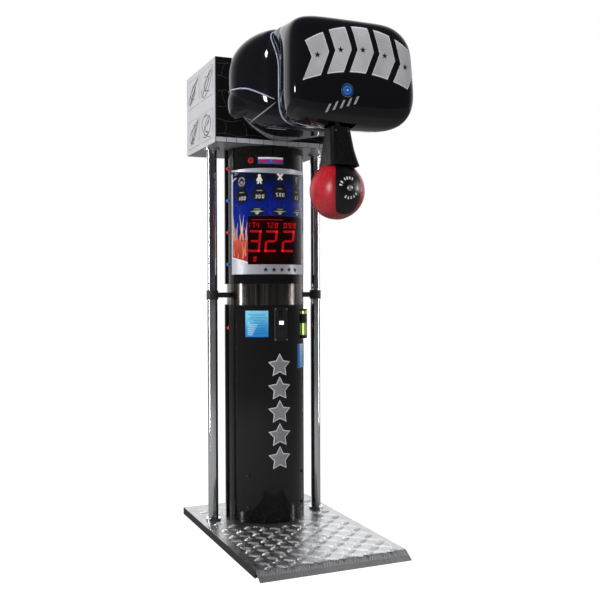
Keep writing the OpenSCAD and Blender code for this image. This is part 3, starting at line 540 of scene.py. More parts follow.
materials = {
    "black_gloss": lacquer("column_lacquer", (0.008, 0.007, 0.0075), 0.05, 60, (0.07, 0.14), 0.15),
    "glove_black": lacquer("glove_lacquer", (0.006, 0.006, 0.008), 0.06, 34, (0.03, 0.08), 0.3),
    "black_paint": powder_coat("frame_powder_coat", (0.018, 0.018, 0.020), 0.5),
    "black_oxide": powder_coat("black_oxide", (0.03, 0.03, 0.033), 0.38, 2200),
    "rubber": moulded("rubber", (0.020, 0.020, 0.020), 0.75),
    "black_plastic": moulded("black_plastic", (0.018, 0.018, 0.022), 0.42, 1500, 0.2),
    "plain_steel": brushed("zinc_steel", (0.56, 0.57, 0.60), 0.34, (60, 60, 500)),
    "stainless": band_with_painted_reflections(),
    "rivet": brushed("plug_steel", (0.62, 0.62, 0.62), 0.34, (200, 200, 200), 0.1, 0.1),
    "chrome": brushed("chrome", (0.80, 0.81, 0.83), 0.07, (40, 40, 8), 0.03, 0.03),
    "silver_film": brushed("silver_film", (0.52, 0.52, 0.58), 0.36, (300, 300, 300), 0.06, 0.08, 0.35),
    "tread_aluminium": tread_metal("tread_metal", (0.50, 0.505, 0.51)),
    # The box's silver sides are painted reflection of bright light on glossy black.
    "box_silver": painted_reflection_silver(),
    "button_red": lit_plastic("red_cap", (0.62, 0.010, 0.014), 0.25),
    "button_blue": lit_plastic("blue_cap", (0.01, 0.13, 0.55), 0.30),
    "lamp_red": lit_plastic("red_lens", (0.80, 0.015, 0.02), 0.5),
    "lamp_blue": lit_plastic("blue_lens", (0.01, 0.16, 0.85), 0.5),
    "digit_red": lit_plastic("lit_segment", (1.0, 0.012, 0.022), 2.6, 0.4, 0.97),
    "smoked_window": smoked_acrylic(),
    "circuit_board": printed("solder_mask", (0.020, 0.002, 0.003), (0.035, 0.004, 0.005), 0.4, 0.0, 90),
    "red_leather": leather("red_leather", (0.34, 0.005, 0.012), 0.31, coat=0.3, sheen=0.02),
    "black_leather": leather("black_leather", (0.003, 0.003, 0.0035), 0.30, coat=0.04, sheen=0.0),
    "label_blue": graded("info_film", 0.90, 1.05, [(0.05, (0.01, 0.12, 0.52)), (0.5, (0.03, 0.34, 0.72)),
                                                   (0.9, (0.20, 0.62, 0.86))], 0.3, 0.25),
    "display_print": graded("display_film", panel_low.z, panel_high.z,
                            [(0.0, (0.001, 0.006, 0.10)), (0.45, (0.001, 0.014, 0.20)),
                             (0.62, (0.001, 0.012, 0.19)),
                             (0.80, (0.001, 0.008, 0.13)), (0.95, (0.001, 0.002, 0.02))], 0.22, 0.30),
}
# White print carries a little painted glow.
white_print = printed("white_print", (0.80, 0.81, 0.83), (0.88, 0.88, 0.90), 0.35, 0.10)
grey_print = printed("grey_print", (0.30, 0.30, 0.32), (0.42, 0.42, 0.45), 0.35)
black_print = printed("black_print", (0.006, 0.006, 0.008), (0.012, 0.012, 0.016), 0.35)
# Pale bluish white of the seam beads: a painted highlight on the glove's black edges.
piping_painted_highlight = moulded("piping", (0.42, 0.48, 0.62), 0.25, 700, 0.1)
dark_line = moulded("engraved_line", (0.09, 0.09, 0.105), 0.45, 900, 0.1)
lit_green = lit_plastic("lit_green_bezel", (0.62, 0.80, 0.22), 0.9)
thread_red = moulded("red_thread", (0.30, 0.01, 0.015), 0.6, 1500, 0.3)
thread_black = moulded("black_thread", (0.05, 0.05, 0.055), 0.6, 1500, 0.3)


def dress_cad_nodes():
    """Every CAD node takes the material of the slot that the record gives it."""
    for part in frame["record"]["subparts"]:
        mesh = frame["nodes"][part["node"]].data
        mesh.materials.clear()
        mesh.materials.append(materials[part["material_slot"]])
        smooth_by_angle(mesh, 30)


dress_cad_nodes()
frame["nodes"]["button_bezels"].data.materials[0] = brushed("ring_metal", (0.30, 0.30, 0.31), 0.22,
                                                            (200, 200, 200))
frame["nodes"]["coin_slot_bezel"].data.materials[0] = brushed("dark_bezel", (0.09, 0.09, 0.095), 0.3,
                                                              (300, 40, 40))
frame["nodes"]["header_tag"].data.materials[0] = printed("tag_film", (0.05, 0.07, 0.26), (0.08, 0.10, 0.34),
                                                         0.3, 0.12)


# ---------- Glove ----------
# The sections are the CAD glove's own: squarish ovals in planes of constant y.

hand = dict(x=0.052, z=2.034, mid_y=-0.455, half_w=0.276, front=0.125, rear=0.250, up=0.184, down=0.245,
            ea=(2.3, 8.0), eb=5.0, ec=4.6, lean=(-0.09, 0.01), flare=0.130, narrow=0.29, lower=0.177,
            top_lower=-0.15)
cuff = dict(end_w=0.200, end_up=0.120, end_down=0.241, end_z=2.080, bulge=0.112, up_bulge=0.052, e=2.6,
            shift=0.010, dip=0.08)
joint_y = hand["mid_y"] + 0.8 * hand["rear"]
box_y = front_low.y
GLOVE_WALL = 0.006


def spow(v, e):
    return math.copysign(abs(v) ** e, v)


def mix(a, b, u):
    return a + (b - a) * u


def oval(cx, y, cz, hw, up, down, ea, ec, lean, flare, count):
    """One section: ea and lean are (finger side, thumb side), flare widens the thumb side's top."""
    ring = []
    for i in range(count):
        a = TURN * i / count
        thumbward = (1 - math.cos(a)) / 2
        v = spow(math.sin(a), 2 / ec)
        dz = v * (up if v > 0 else down)
        x = hw * spow(math.cos(a), 2 / mix(ea[0], ea[1], thumbward))
        x += mix(lean[0], lean[1], thumbward) * dz - flare * thumbward * max(v, 0) ** 3
        ring.append(Vector((cx + x, y, cz + dz)))
    return ring


hand_end = math.asin(((joint_y - hand["mid_y"]) / hand["rear"]) ** (hand["eb"] / 2))
GROOVE_Y = -0.372
GROOVE_W = 0.012
GROOVE_D = 0.0035
STEP_IN = 0.002


def hand_ring(phi, inset, count):
    h = hand
    v = spow(math.sin(phi), 2 / h["eb"])
    k = math.cos(phi) ** (2 / h["eb"])
    rear = max(v, 0)
    y = h["mid_y"] + v * (h["front"] - inset if v < 0 else h["rear"])
    # A moulded groove parts the curled fingers from the back of the hand, which steps in behind it.
    groove = GROOVE_D * math.exp(-((y - GROOVE_Y) / GROOVE_W) ** 2)
    step = STEP_IN / (1 + math.exp(-(y - GROOVE_Y) / 0.006))
    inset = inset + groove + step * (1 - rear)
    return oval(h["x"], y, h["z"], h["half_w"] * (1 - h["narrow"] * rear) * k - inset,
                h["up"] * (1 - h["top_lower"] * rear) * k - inset,
                h["down"] * (1 - h["lower"] * rear) * k - inset,
                h["ea"], h["ec"], h["lean"], h["flare"] * rear, count)


seam_k = math.cos(hand_end) ** (2 / hand["eb"])
seam_w = hand["half_w"] * (1 - hand["narrow"] * 0.8) * seam_k
seam_up = hand["up"] * (1 - hand["top_lower"] * 0.8) * seam_k
seam_down = hand["down"] * (1 - hand["lower"] * 0.8) * seam_k


def cuff_ring(u, inset, count):
    c, h = cuff, hand
    s = math.sin(math.pi * u)
    q = 1 - (1 - u) ** 4
    dip = 1 + c["dip"] * (1 - (1 - min(u / 0.1, 1)) ** 2) * (1 - u)
    return oval(mix(h["x"], 0, u) - c["shift"] * s, mix(joint_y, box_y, u), mix(h["z"], c["end_z"], u),
                mix(seam_w, c["end_w"], u) * dip + c["bulge"] * s - inset,
                mix(seam_up, c["end_up"], u) * dip + c["up_bulge"] * s - inset,
                mix(seam_down, c["end_down"], u) * dip - inset,
                (mix(h["ea"][0], c["e"], q), mix(h["ea"][1], c["e"], q)), mix(h["ec"], c["e"], q),
                (h["lean"][0] * (1 - q), h["lean"][1] * (1 - q)), h["flare"] * 0.8 * (1 - q), count)


RING_POINTS = 120


def hand_mesh(inset, rear_reach):
    start = -1.55
    phis = [mix(start, -1.30, i / 7) for i in range(7)] + [mix(-1.30, hand_end, i / 70) for i in range(71)]
    rings = [hand_ring(phi, inset, RING_POINTS) for phi in phis]
    if rear_reach:
        rings.append([p + Vector((0, rear_reach, 0)) for p in hand_ring(hand_end, inset, RING_POINTS)])
    return loft("hand", rings)


def cuff_mesh(inset, reach):
    rings = []
    for j in range(41):
        u = j / 40
        shift = -reach if j == 0 else reach if j == 40 else 0
        rings.append([p + Vector((0, shift, 0)) for p in cuff_ring(u, inset, RING_POINTS)])
    return loft("cuff", rings)


# The opening that the arm swings through, and the hole for the start button.
SLOT_HALF, SLOT_FRONT, SLOT_REAR = 0.058, 0.056, 0.172
SLOT_BELOW, SLOT_ABOVE = 0.12, 0.01
BUTTON_HOLE_R = 0.0235
OVERSHOOT = 0.001


def glove_shell(name, replaced, outside, cutters):
    shell = boolean_cut(outside, cutters)
    piece = add_object(name, smooth_by_angle(shell, 40), "stand", "glove_black")
    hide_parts(replaced)


def make_hand():
    slot = box_mesh("slot", (-SLOT_HALF, axle.y - SLOT_FRONT, axle.z - SLOT_BELOW),
                    (SLOT_HALF, axle.y + SLOT_REAR, axle.z + SLOT_ABOVE))
    button_hole = bpy.data.meshes.new("button_hole")
    bm = bmesh.new()
    place = Matrix.Translation((start_mid.x, start_low.y + 0.02, start_mid.z))
    bmesh.ops.create_cone(bm, cap_ends=True, segments=64, radius1=BUTTON_HOLE_R, radius2=BUTTON_HOLE_R,
                          depth=0.08, matrix=place @ Matrix.Rotation(math.pi / 2, 4, "X"))
    bm.to_mesh(button_hole)
    bm.free()
    glove_shell("fist_shell", "glove_hand", hand_mesh(0, 0),
                [hand_mesh(GLOVE_WALL, OVERSHOOT), slot, button_hole])


def make_cuff():
    glove_shell("wrist_shell", "glove_cuff", cuff_mesh(0, 0), [cuff_mesh(GLOVE_WALL, OVERSHOOT)])


def cuff_side(u):
    return mix(hand["x"], 0,
               u) - 0.95 * (mix(seam_w, cuff["end_w"], u) + cuff["bulge"] * math.sin(math.pi * u))


THUMB_START, THUMB_END = 0.03, 0.84
THUMB_H, THUMB_W = 0.064, 0.034
THUMB_TIP_Z, THUMB_ROOT_Z = 1.938, 1.964


def thumb_section(q):
    u = mix(THUMB_START, THUMB_END, q)
    k = math.sin(math.pi * mix(0.004, 0.99, q) ** 1.7) ** 0.6
    centre = Vector((cuff_side(u), mix(joint_y, box_y, u), mix(THUMB_TIP_Z, THUMB_ROOT_Z, q)))
    return centre, THUMB_W * k + 0.002, THUMB_H * k + 0.002


def thumb_mesh():
    rings = []
    for j in range(49):
        centre, half_w, half_h = thumb_section(j / 48)
        rings.append(oval(*centre, half_w, half_h, half_h, (2.2, 2.2), 2.2, (0, 0), 0, 56))
    return loft("thumb", rings)


def make_thumb():
    glove_shell("thumb_shell", "glove_thumb", thumb_mesh(), [cuff_mesh(-0.0002, 0)])


make_hand()
make_cuff()
make_thumb()

fist_hull = BVHTree.FromPolygons(*shape_of(hand_mesh(0, 0)))


def fist_front(u, w, d):
    """Point of the fist's front at (x, z) = (u, w), d outside the surface."""
    at, normal, _, _ = fist_hull.ray_cast(Vector((u, -1, w)), Vector((0, 1, 0)))
    return at - normal * math.copysign(d, normal.y)


def fist_under(u, w, d):
    """Point of the fist's underside at (x, y) = (u, w), d below the surface."""
    at, normal, _, _ = fist_hull.ray_cast(Vector((u, w, 1)), Vector((0, 0, 1)))
    return at - normal * math.copysign(d, normal.z)


# ---------- Printed and stuck-on artwork ----------

def art(name, outlines, low, high, slot_name, material, surface, step=8, body="stand"):
    """Thin plates on a surface; the outlines are in metres, low, high and step in millimetres."""
    mesh = draped(name, outlines, surface, (low * MM, high * MM), step * MM)
    return add_object(name, mesh, body, slot_name, material)


front = on_column(col_r)


def film(name, outlines, low, high, material, slot_name="display_print", step=8):
    """Artwork on the column's front shells."""
    return art(name, outlines, low, high, slot_name, material, front, step)


class FlatFace:
    """The flat outer face of a node on the column: u runs along it, w is the height, d stands off it."""

    def __init__(self, node, rim=math.inf):
        self.low, self.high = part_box(node)
        middle = (self.low + self.high) / 2
        a = math.atan2(middle.x - col_x, col_y - middle.y)
        self.out, self.along = Vector((math.sin(a), -math.cos(a), 0)), Vector((math.cos(a), math.sin(a), 0))
        points = [v.co - COLUMN_AXIS for v in frame["nodes"][node].data.vertices]
        self.reach = max(p.dot(self.out) for p in points)
        us = [p.dot(self.along) for p in points if p.dot(self.out) > self.reach - rim]
        self.u0, self.u1 = min(us), max(us)

    def place(self, u, w, d):
        return COLUMN_AXIS + self.along * u + self.out * (self.reach + d) + UP * w


def spot(deg, z):
    """Place on the column's unrolled face, from an angle and a height in millimetres."""
    return arc(deg), z * MM


def placed(outline, deg, z):
    u, w = spot(deg, z)
    return moved(outline, u, w)


def patch(deg0, z0, deg1, z1):
    return rectangle(arc(deg0), z0 * MM, arc(deg1), z1 * MM)


FIGURE_BARS = {"0": "abcdef", "1": "bc", "2": "abged", "3": "abgcd", "4": "fgbc", "5": "afgcd", "7": "abc",
               "9": "abcdfg", "x": "xy"}


def figure(sign, h, lean=0.0, bold=0.15):
    """Bars of one figure, h high, standing on its base line and centred across."""
    w, b = h * 0.58, h * bold
    m = h / 2
    g = b * 0.12
    bars = {
        "a": [(-w / 2 + g, h - b), (w / 2 - g, h - b), (w / 2 - g, h), (-w / 2 + g, h)],
        "b": rectangle(w / 2 - b, m + g, w / 2, h - g),
        "c": rectangle(w / 2 - b, g, w / 2, m - g),
        "d": rectangle(-w / 2 + g, 0, w / 2 - g, b),
        "e": rectangle(-w / 2, g, -w / 2 + b, m - g),
        "f": rectangle(-w / 2, m + g, -w / 2 + b, h - g),
        "g": rectangle(-w / 2 + b + g, m - b / 2, w / 2 - b - g, m + b / 2),
        "x": [(-w / 2, 0), (-w / 2 + b, 0), (w / 2, h), (w / 2 - b, h)],
        "y": [(w / 2 - b, 0), (w / 2, 0), (-w / 2 + b, h), (-w / 2, h)],
    }
    return [[(x + lean * y, y) for x, y in bars[k]] for k in FIGURE_BARS[sign]]


def number(signs, h, u, w, lean=0.0, bold=0.16, pitch=0.78):
    out = []
    for i, sign in enumerate(signs):
        middle = u + (i - (len(signs) - 1) / 2) * h * pitch
        out += [moved(bar, middle, w) for bar in figure(sign, h, lean, bold)]
    return out


def tongue(base_u, base_w, width, height, sway, steps=14):
    """A flame tongue: an S-bent taper from a wide foot to a thin tip."""
    left, right = [], []
    for i in range(steps + 1):
        t = i / steps
        half = width / 2 * (1 - t) ** 0.8 * (1 + 0.25 * math.sin(5 * t)) + 0.0002
        middle = base_u + sway * math.sin(4.2 * t)
        left.append((middle - half, base_w + height * t))
        right.append((middle + half, base_w + height * t))
    return left + right[::-1]


def make_display_trims():
    """Silver film round the display: arched head band, side strips, and a foot strip with a swoosh."""
    count = 30
    half = 78
    angles = [mix(-half, half, i / count) for i in range(count + 1)]

    def band_low(deg):
        return 1703 - 16 * math.cos(math.radians(deg) * 1.15)

    head = [spot(deg, band_low(deg)) for deg in angles] + [spot(deg, 1708 + 3 * math.cos(math.radians(deg)))
                                                           for deg in reversed(angles)]
    foot = [spot(-half, 1213.3), spot(half, 1213.3), spot(half, 1258.6), spot(-46, 1258.6)]
    for i in range(12):
        t = i / 11
        foot.append(spot(mix(-46.5, -half, t), 1268 + 26 * t ** 0.8))
    sides = [patch(-half, 1296, -74.5, 1690), patch(66, 1260, half, 1690)]
    piece = art("display_film_trims", [head, foot] + sides, 0.05, 1.25, "silver_film",
                materials["silver_film"], front)
    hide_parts("display_trims")
    swoosh = [spot(mix(-46.5, -77, i / 11), 1270 + 26 * (i / 11) ** 0.8) for i in range(12)]
    swoosh += [spot(mix(-77, -46.5, i / 11), 1266 + 26 * (1 - i / 11) ** 0.8 - 2) for i in range(12)]
    art("swoosh_edge", [swoosh], 1.3, 1.6, "silver_film", white_print, front)
    shadow = [spot(deg, band_low(deg) - 10 - 26 * math.cos(math.radians(deg * 0.9)) ** 2) for deg in angles]
    shadow += [spot(deg, band_low(deg) + 0.5) for deg in reversed(angles)]
    film("head_band_shadow", [shadow], 0.12, 0.3, deep_blue)
    art("header_fill", [[spot(deg, 1706) for deg in angles] + [spot(deg, 1720.5)
                                                               for deg in reversed(angles)]],
        0.1, 0.3, "black_gloss", materials["black_gloss"], front)


def make_foot_strip_stars():
    """Stars stand where the machine carries a word on its foot strip."""
    stars = [placed(star(0.0125, 0.45), deg, 1234) for deg in (-20, -8, 4, 16, 28)]
    film("foot_strip_stars", stars, 1.3, 1.6, ink_red_black)
    bars = [placed(rectangle(-0.012, -0.0012, 0.012, 0.0012), deg, 1251) for deg in (-2, 10)]
    film("foot_strip_dashes", bars, 1.3, 1.6, grey_print)


BADGES = [(-56.3, 1650, 1583, "100"), (-28.5, 1661, 1589.5, "300"), (1.6, 1671, 1598.5, "500"),
          (32.5, 1657, 1590, "x2")]


def make_badges():
    """Black score badges: an icon disc over a value disc, then marked ellipses below."""
    upper, lower, lines, values = [], [], [], []
    for deg, icon_z, value_z, signs in BADGES:
        upper.append(placed(ellipse(0.029, 0.030), deg, icon_z))
        lower.append(placed(ellipse(0.037, 0.037), deg, value_z))
        lines.append(placed(rectangle(-0.0135, 0, 0.0135, 0.0042), deg, value_z + 14))
        u, w = spot(deg, value_z - 20)
        values += number(signs, 0.0165, u, w, 0.08, 0.15, 0.98)
    film("value_badges", lower, 0.35, 0.55, black_print)
    film("icon_badges", upper, 0.45, 0.65, black_print)
    film("badge_lines", lines, 0.6, 0.8, grey_print)
    film("badge_values", values, 0.6, 0.8, white_print)
    # Icons: a round glove, a winner's figure, crossed bars, and a bolt.
    outer, inner = ellipse(0.020, 0.022, 28), ellipse(0.014, 0.016, 28)
    ring = []
    for i in range(28):
        j = (i + 1) % 28
        if i % 7:
            ring.append([outer[i], outer[j], inner[j], inner[i]])
    glove_mark = [moved(q, *spot(-56.3, 1650)) for q in ring]
    glove_mark += [placed(star(0.009, 0.6, 4), -56.3, 1646)]
    winner = [placed(ellipse(0.007, 0.009, 16), -28.5, 1674),
              placed([(-0.016, -0.002), (-0.008, 0.012), (0.008, 0.012), (0.016, -0.002), (0.010, -0.006),
                      (-0.010, -0.006)], -28.5, 1655),
              placed([(-0.012, -0.020), (-0.004, -0.020), (0, -0.008), (0.004, -0.020), (0.012, -0.020),
                      (0.008, -0.008), (-0.008, -0.008)], -28.5, 1657)]
    crossed = []
    for s in (-1, 1):
        bar = [(-0.004, -0.018), (0.004, -0.018), (0.005, 0.012), (0.0075, 0.020), (-0.0075, 0.020),
               (-0.005, 0.012)]
        a = math.radians(38 * s)
        crossed.append(placed([(x * math.cos(a) - y * math.sin(a), x * math.sin(a) + y * math.cos(a)) for x,
                               y in bar],
                              1.6, 1671 + 0.3 * s))
    bolt = [placed([(-0.006, 0.020), (0.010, 0.020), (0.002, 0.004), (0.010, 0.004), (-0.006, -0.022),
                    (-0.001, -0.002), (-0.009, -0.002)], 32.5, 1657)]
    film("icon_glove", glove_mark, 0.7, 0.9, grey_print)
    film("icon_winner", winner, 0.7, 0.9, white_print)
    film("icon_winner_heart", [placed(ellipse(0.005, 0.006, 14), -28.5, 1653)], 0.95, 1.1, yellow_print)
    film("icon_crossed_a", crossed[:1], 0.7, 0.9, white_print)
    film("icon_crossed_b", crossed[1:], 0.92, 1.05, white_print)
    film("icon_bolt", bolt, 0.7, 0.9, grey_print)
    ovals, marks = [], []
    for deg in (-32.1, 1.5, 34.3):
        ovals.append(placed(ellipse(0.034, 0.0185), deg, 1508.5))
        marks.append(placed([(-0.033, 0), (-0.012, -0.003), (0.012, -0.003), (0.033, 0), (0.012, 0.003),
                             (-0.012, 0.003)], deg, 1508.5))
        marks.append(placed([(-0.012, -0.0045), (0.012, -0.0045), (0.004, -0.015), (-0.004, -0.015)], deg,
                            1508.5))
        marks.append(placed(rectangle(-0.015, 0.0095, 0.015, 0.012), deg, 1508.5))
    film("small_ovals", ovals, 0.35, 0.55, black_print)
    film("small_oval_marks", marks, 0.6, 0.8, pale_print)
    triangle = [(-0.010, -0.008), (0.012, 0.001), (-0.010, 0.010)]
    hollow = [(x * 0.55, y * 0.55) for x, y in triangle]
    frame_bars = [[triangle[i], triangle[(i + 1) % 3], hollow[(i + 1) % 3], hollow[i]] for i in range(3)]
    film("corner_triangle", [placed(bar, -66, 1689) for bar in frame_bars], 1.3, 1.5, grey_print)
    film("corner_dash", [[spot(-77, 1651), spot(-66.5, 1669), spot(-66, 1673), spot(-77, 1656)]], 1.3, 1.5,
        white_print)


def make_flames():
    """Fire to the left of the window, and a pale strip of it to the right."""
    base = 1277
    low_u, high_u = arc(-74.3), arc(-46.6)
    body = [(high_u, base * MM - 0.006), (high_u, 1.398)]
    bumps = 9
    for i in range(bumps * 4 + 1):
        t = i / (bumps * 4)
        body.append((mix(high_u, low_u, t),
                     1.386 + 0.014 * math.sin(t * bumps * TURN * 0.5) + 0.006 * math.sin(31 * t)))
    body += [(low_u, 1.297)] + [spot(mix(-74.3, -46.6, i / 8), 1297 - 26 * (i / 8) ** 1.1)
                                for i in range(1, 8)]
    film("flame_body", [body], 0.3, 0.45, flame_red, step=6)
    tall = [(-73.2, 1372, 8, 126, 3.0), (-69.0, 1376, 6, 60, -3.5), (-65.0, 1374, 7, 84, -3.5),
            (-58.8, 1374, 8, 122, 5),
            (-53.8, 1376, 8, 118, -5), (-50.0, 1372, 6, 62, 3), (-47.9, 1374, 5, 88, -2)]
    outer = [tongue(arc(d), z * MM, w * MM, h * MM, s * MM) for d, z, w, h, s in tall]
    inner = [tongue(arc(d), (z - 4) * MM, w * 0.42 * MM, h * 0.62 * MM, s * MM) for d, z, w, h, s in tall]
    film("flame_tongues", outer, 0.5, 0.65, flame_cream, step=6)
    film("flame_cores", inner, 0.7, 0.85, flame_red, step=6)
    licks = [(-71.0, 1300, 5, 40, -3), (-64.0, 1288, 5, 34, 3), (-55.0, 1284, 6, 86, 4),
             (-50.0, 1300, 5, 72, -3)]
    film("flame_licks", [tongue(arc(d), z * MM, w * MM, h * MM, s * MM) for d, z, w, h, s in licks], 0.5,
         0.62,
        flame_orange, step=6)
    right = [spot(55.5, 1262), spot(65.5, 1262), spot(65.5, 1405), spot(62, 1440), spot(60, 1400),
             spot(57.5, 1425),
             spot(55.5, 1390)]
    film("flame_right", [right], 0.3, 0.45, flame_pink, step=6)
    art("right_grey_strip", [patch(55.5, 1441, 65.6, 1688)], 0.1, 0.25, "silver_film",
        materials["silver_film"], front)


def make_window_marks():
    """Film beside the score window, and thin lines at its head and foot."""
    art("window_border_right", [patch(46.1, 1259, 55, 1488)], 0.1, 0.3, "smoked_window", window_film, front)
    art("window_head_line", [patch(-41, 1467, 6, 1470.5)], 0.15, 0.3, "digit_red", dim_red, front)
    art("window_frame_lines", [patch(-46, 1486, 46, 1488), patch(-46, 1259.5, 46, 1261)], 0.15, 0.35,
        "black_plastic", black_print, front)


def make_digits():
    """Lit bars on the score board: three leaning figures, a row of small ones above and one below."""
    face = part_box("score_digits")[1].y

    def board(u, w, d):
        return Vector((u, face - d, w))

    bars = []
    for signs, h, u, z, bold in (("3", 0.103, -0.1055, 1.3185, 0.10), ("2", 0.103, -0.0225, 1.3195, 0.10),
                                 ("2", 0.103, 0.0655, 1.3205, 0.10), ("174", 0.024, -0.110, 1.4335, 0.11),
                                 ("720", 0.024, -0.013, 1.4345, 0.11), ("099", 0.024, 0.078, 1.4355, 0.11),
                                 ("0", 0.022, -0.101, 1.2735, 0.16)):
        bars += number(signs, h, u, z, 0.10, bold, 0.95)
    piece = art("lit_bars", bars, -2, 3, "digit_red", materials["digit_red"], board, 200)
    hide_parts("score_digits")


def make_header():
    """Stripe, bars and mark on the header's tag, and the dark middle of the select button."""
    tag_top, tag_low = 1762, 1730
    art("tag_stripe", [patch(-30.3, tag_top - 9, 6.3, tag_top - 0.5)], 1.3, 1.6, "silver_film", white_print,
        front)
    art("tag_red_bars", [patch(-28.5, tag_low + 11, -14.5, tag_low + 20),
                         patch(-8.6, tag_low + 11, 5, tag_low + 20)],
        1.3, 1.6, "button_red", tag_red_painted_glow, front)
    film("tag_blue_mark", [patch(-12.4, tag_low + 8, -10.4, tag_low + 23)], 1.3, 1.6, materials["lamp_blue"])
    face = FlatFace("select_button")

    def cap_face(u, w, d):
        return face.place(u, (face.low.z + face.high.z) / 2 + w, d)

    art("select_button_middle", [ellipse(0.0065, 0.0065, 28)], 0.02, 0.5, "button_red", dark_red, cap_face,
        200,
        body="select_cap")
    art("header_left_line", [patch(-76.5, 1731, -76, 1809)], 0.1, 0.4, "stainless", grey_print, front)


def make_labels():
    """Info sheet with a pale head, rules and print lines; the right-hand one is part hidden."""
    high = 1041
    rules = []
    for i in range(13):
        z = high - 17 - i * 7.6
        left = -47 + (i * 37 % 11) if i not in (1, 2) else -43
        right = -20 + (i * 29 % 5) * 0.5 if i != 1 else -21
        if i > 3:
            left = mix(left, -34, 0.25 + 0.5 * ((i * 13) % 7) / 7)
        rules.append(patch(left, z, right, z + 2.3))
    art("label_rules", rules, 1.3, 1.5, "label_blue", label_ink, front)
    pale = [patch(-47, high - 58 - i * 9.5, mix(-44, -30, ((i * 17) % 9) / 9), high - 55 - i * 9.5)
            for i in range(7)]
    art("label_pale_lines", pale, 1.3, 1.5, "label_blue", label_pale, front)
    art("label_right_sheet", [patch(40.5, 764, 64.5, 877)], 1.25, 1.45, "label_blue", label_sky, front)
    art("label_right_rules", [patch(42, z, 62, z + 2.4) for z in range(775, 868, 9)], 1.5, 1.7, "label_blue",
        label_ink, front)


def make_stars():
    """Five big cut-metal stars with a bright edge, in place of a word down the column."""
    low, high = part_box("silver_stars")
    count = 5
    step_z = (high.z - low.z) / count
    places = [low.z + step_z * (i + 0.5) - 0.002 for i in range(count)]
    outer = [moved(star(0.0585, 0.52), 0, z) for z in places]
    inner = [moved(star(0.0510, 0.50), 0, z) for z in places]
    piece = art("star_plates", outer, 0.02, 1.3, "silver_film", white_print, front, 10)
    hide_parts("silver_stars")
    art("star_faces", inner, 1.35, 1.9, "silver_film", star_inlay, front, 10)


# Height of the reject window over its plate in millimetres: more than its 5 mm of travel.
CAP_LIFT = 5.3


def make_coin_details():
    """The lit reject window with its rim, and the plate's worn left edge."""
    face = FlatFace("coin_plate")
    half, middle_u = (face.u1 - face.u0) / 2, (face.u1 + face.u0) / 2

    def plate(u, w, d):
        return face.place(u + middle_u, w, d)

    edge = rectangle(-half + 0.001, face.low.z + 0.003, -half + 0.004, face.high.z - 0.003)
    art("coin_plate_edge", [edge], 0, 1.2, "plain_steel", edge_grey, plate, 200)
    cap_low, cap_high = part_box("coin_reject_button")
    cap = (cap_low + cap_high) / 2
    u, w = (cap - COLUMN_AXIS).dot(face.along) - middle_u, cap.z
    art("coin_window_stalk", [moved(ellipse(0.0035, 0.0035, 24), u, w)], -6.0, CAP_LIFT - 0.05, "button_red",
        materials["black_plastic"], plate, 200, body="reject_cap")
    window = [rectangle(u - 0.011, w - 0.0085, u + 0.011, w + 0.0085)]
    lit = art("coin_lit_window", window, CAP_LIFT, CAP_LIFT + 1.6, "button_red", lit_white, plate, 200,
              body="reject_cap")
    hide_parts("coin_reject_button")
    rim = [rectangle(u - 0.015, w - 0.0125, u + 0.015, w - 0.0095),
           rectangle(u - 0.015, w + 0.0095, u + 0.015, w + 0.0125),
           rectangle(u - 0.015, w - 0.0094, u - 0.0125, w + 0.0094),
           rectangle(u + 0.0125, w - 0.0094, u + 0.015, w + 0.0094)]
    art("coin_lit_rim", rim, 0.02, 3.0, "black_plastic", materials["black_plastic"], plate, 200)


def make_validator_lights():
    """Green lights down both sides of the note entry's face, across its top and round its left side."""
    face = FlatFace("bill_validator", rim=0.004)
    height = face.high.z - face.low.z
    side_low, side_high = face.low.z + height * 0.12, face.low.z + height * 0.52
    top_low, top_high = face.high.z - height * 0.16, face.high.z - height * 0.06

    def left_side(u, w, d):
        return COLUMN_AXIS + face.along * (face.u0 - d) + face.out * u + UP * w

    bars = [rectangle(face.u0 + 0.004, side_low, face.u0 + 0.013, side_high),
            rectangle(face.u0 + 0.004, top_low, face.u1 - 0.004, top_high),
            rectangle(face.u1 - 0.013, side_low, face.u1 - 0.004, side_high)]
    art("validator_face_lights", bars, 0.05, 0.8, "lamp_blue", lit_green, face.place, 200)
    depth = face.reach - 0.004
    edge = [rectangle(depth - 0.012, side_low, depth - 0.001, side_high),
            rectangle(depth - 0.012, top_low, depth - 0.001, top_high)]
    art("validator_side_lights", edge, 0.05, 0.6, "lamp_blue", lit_green, left_side, 200)


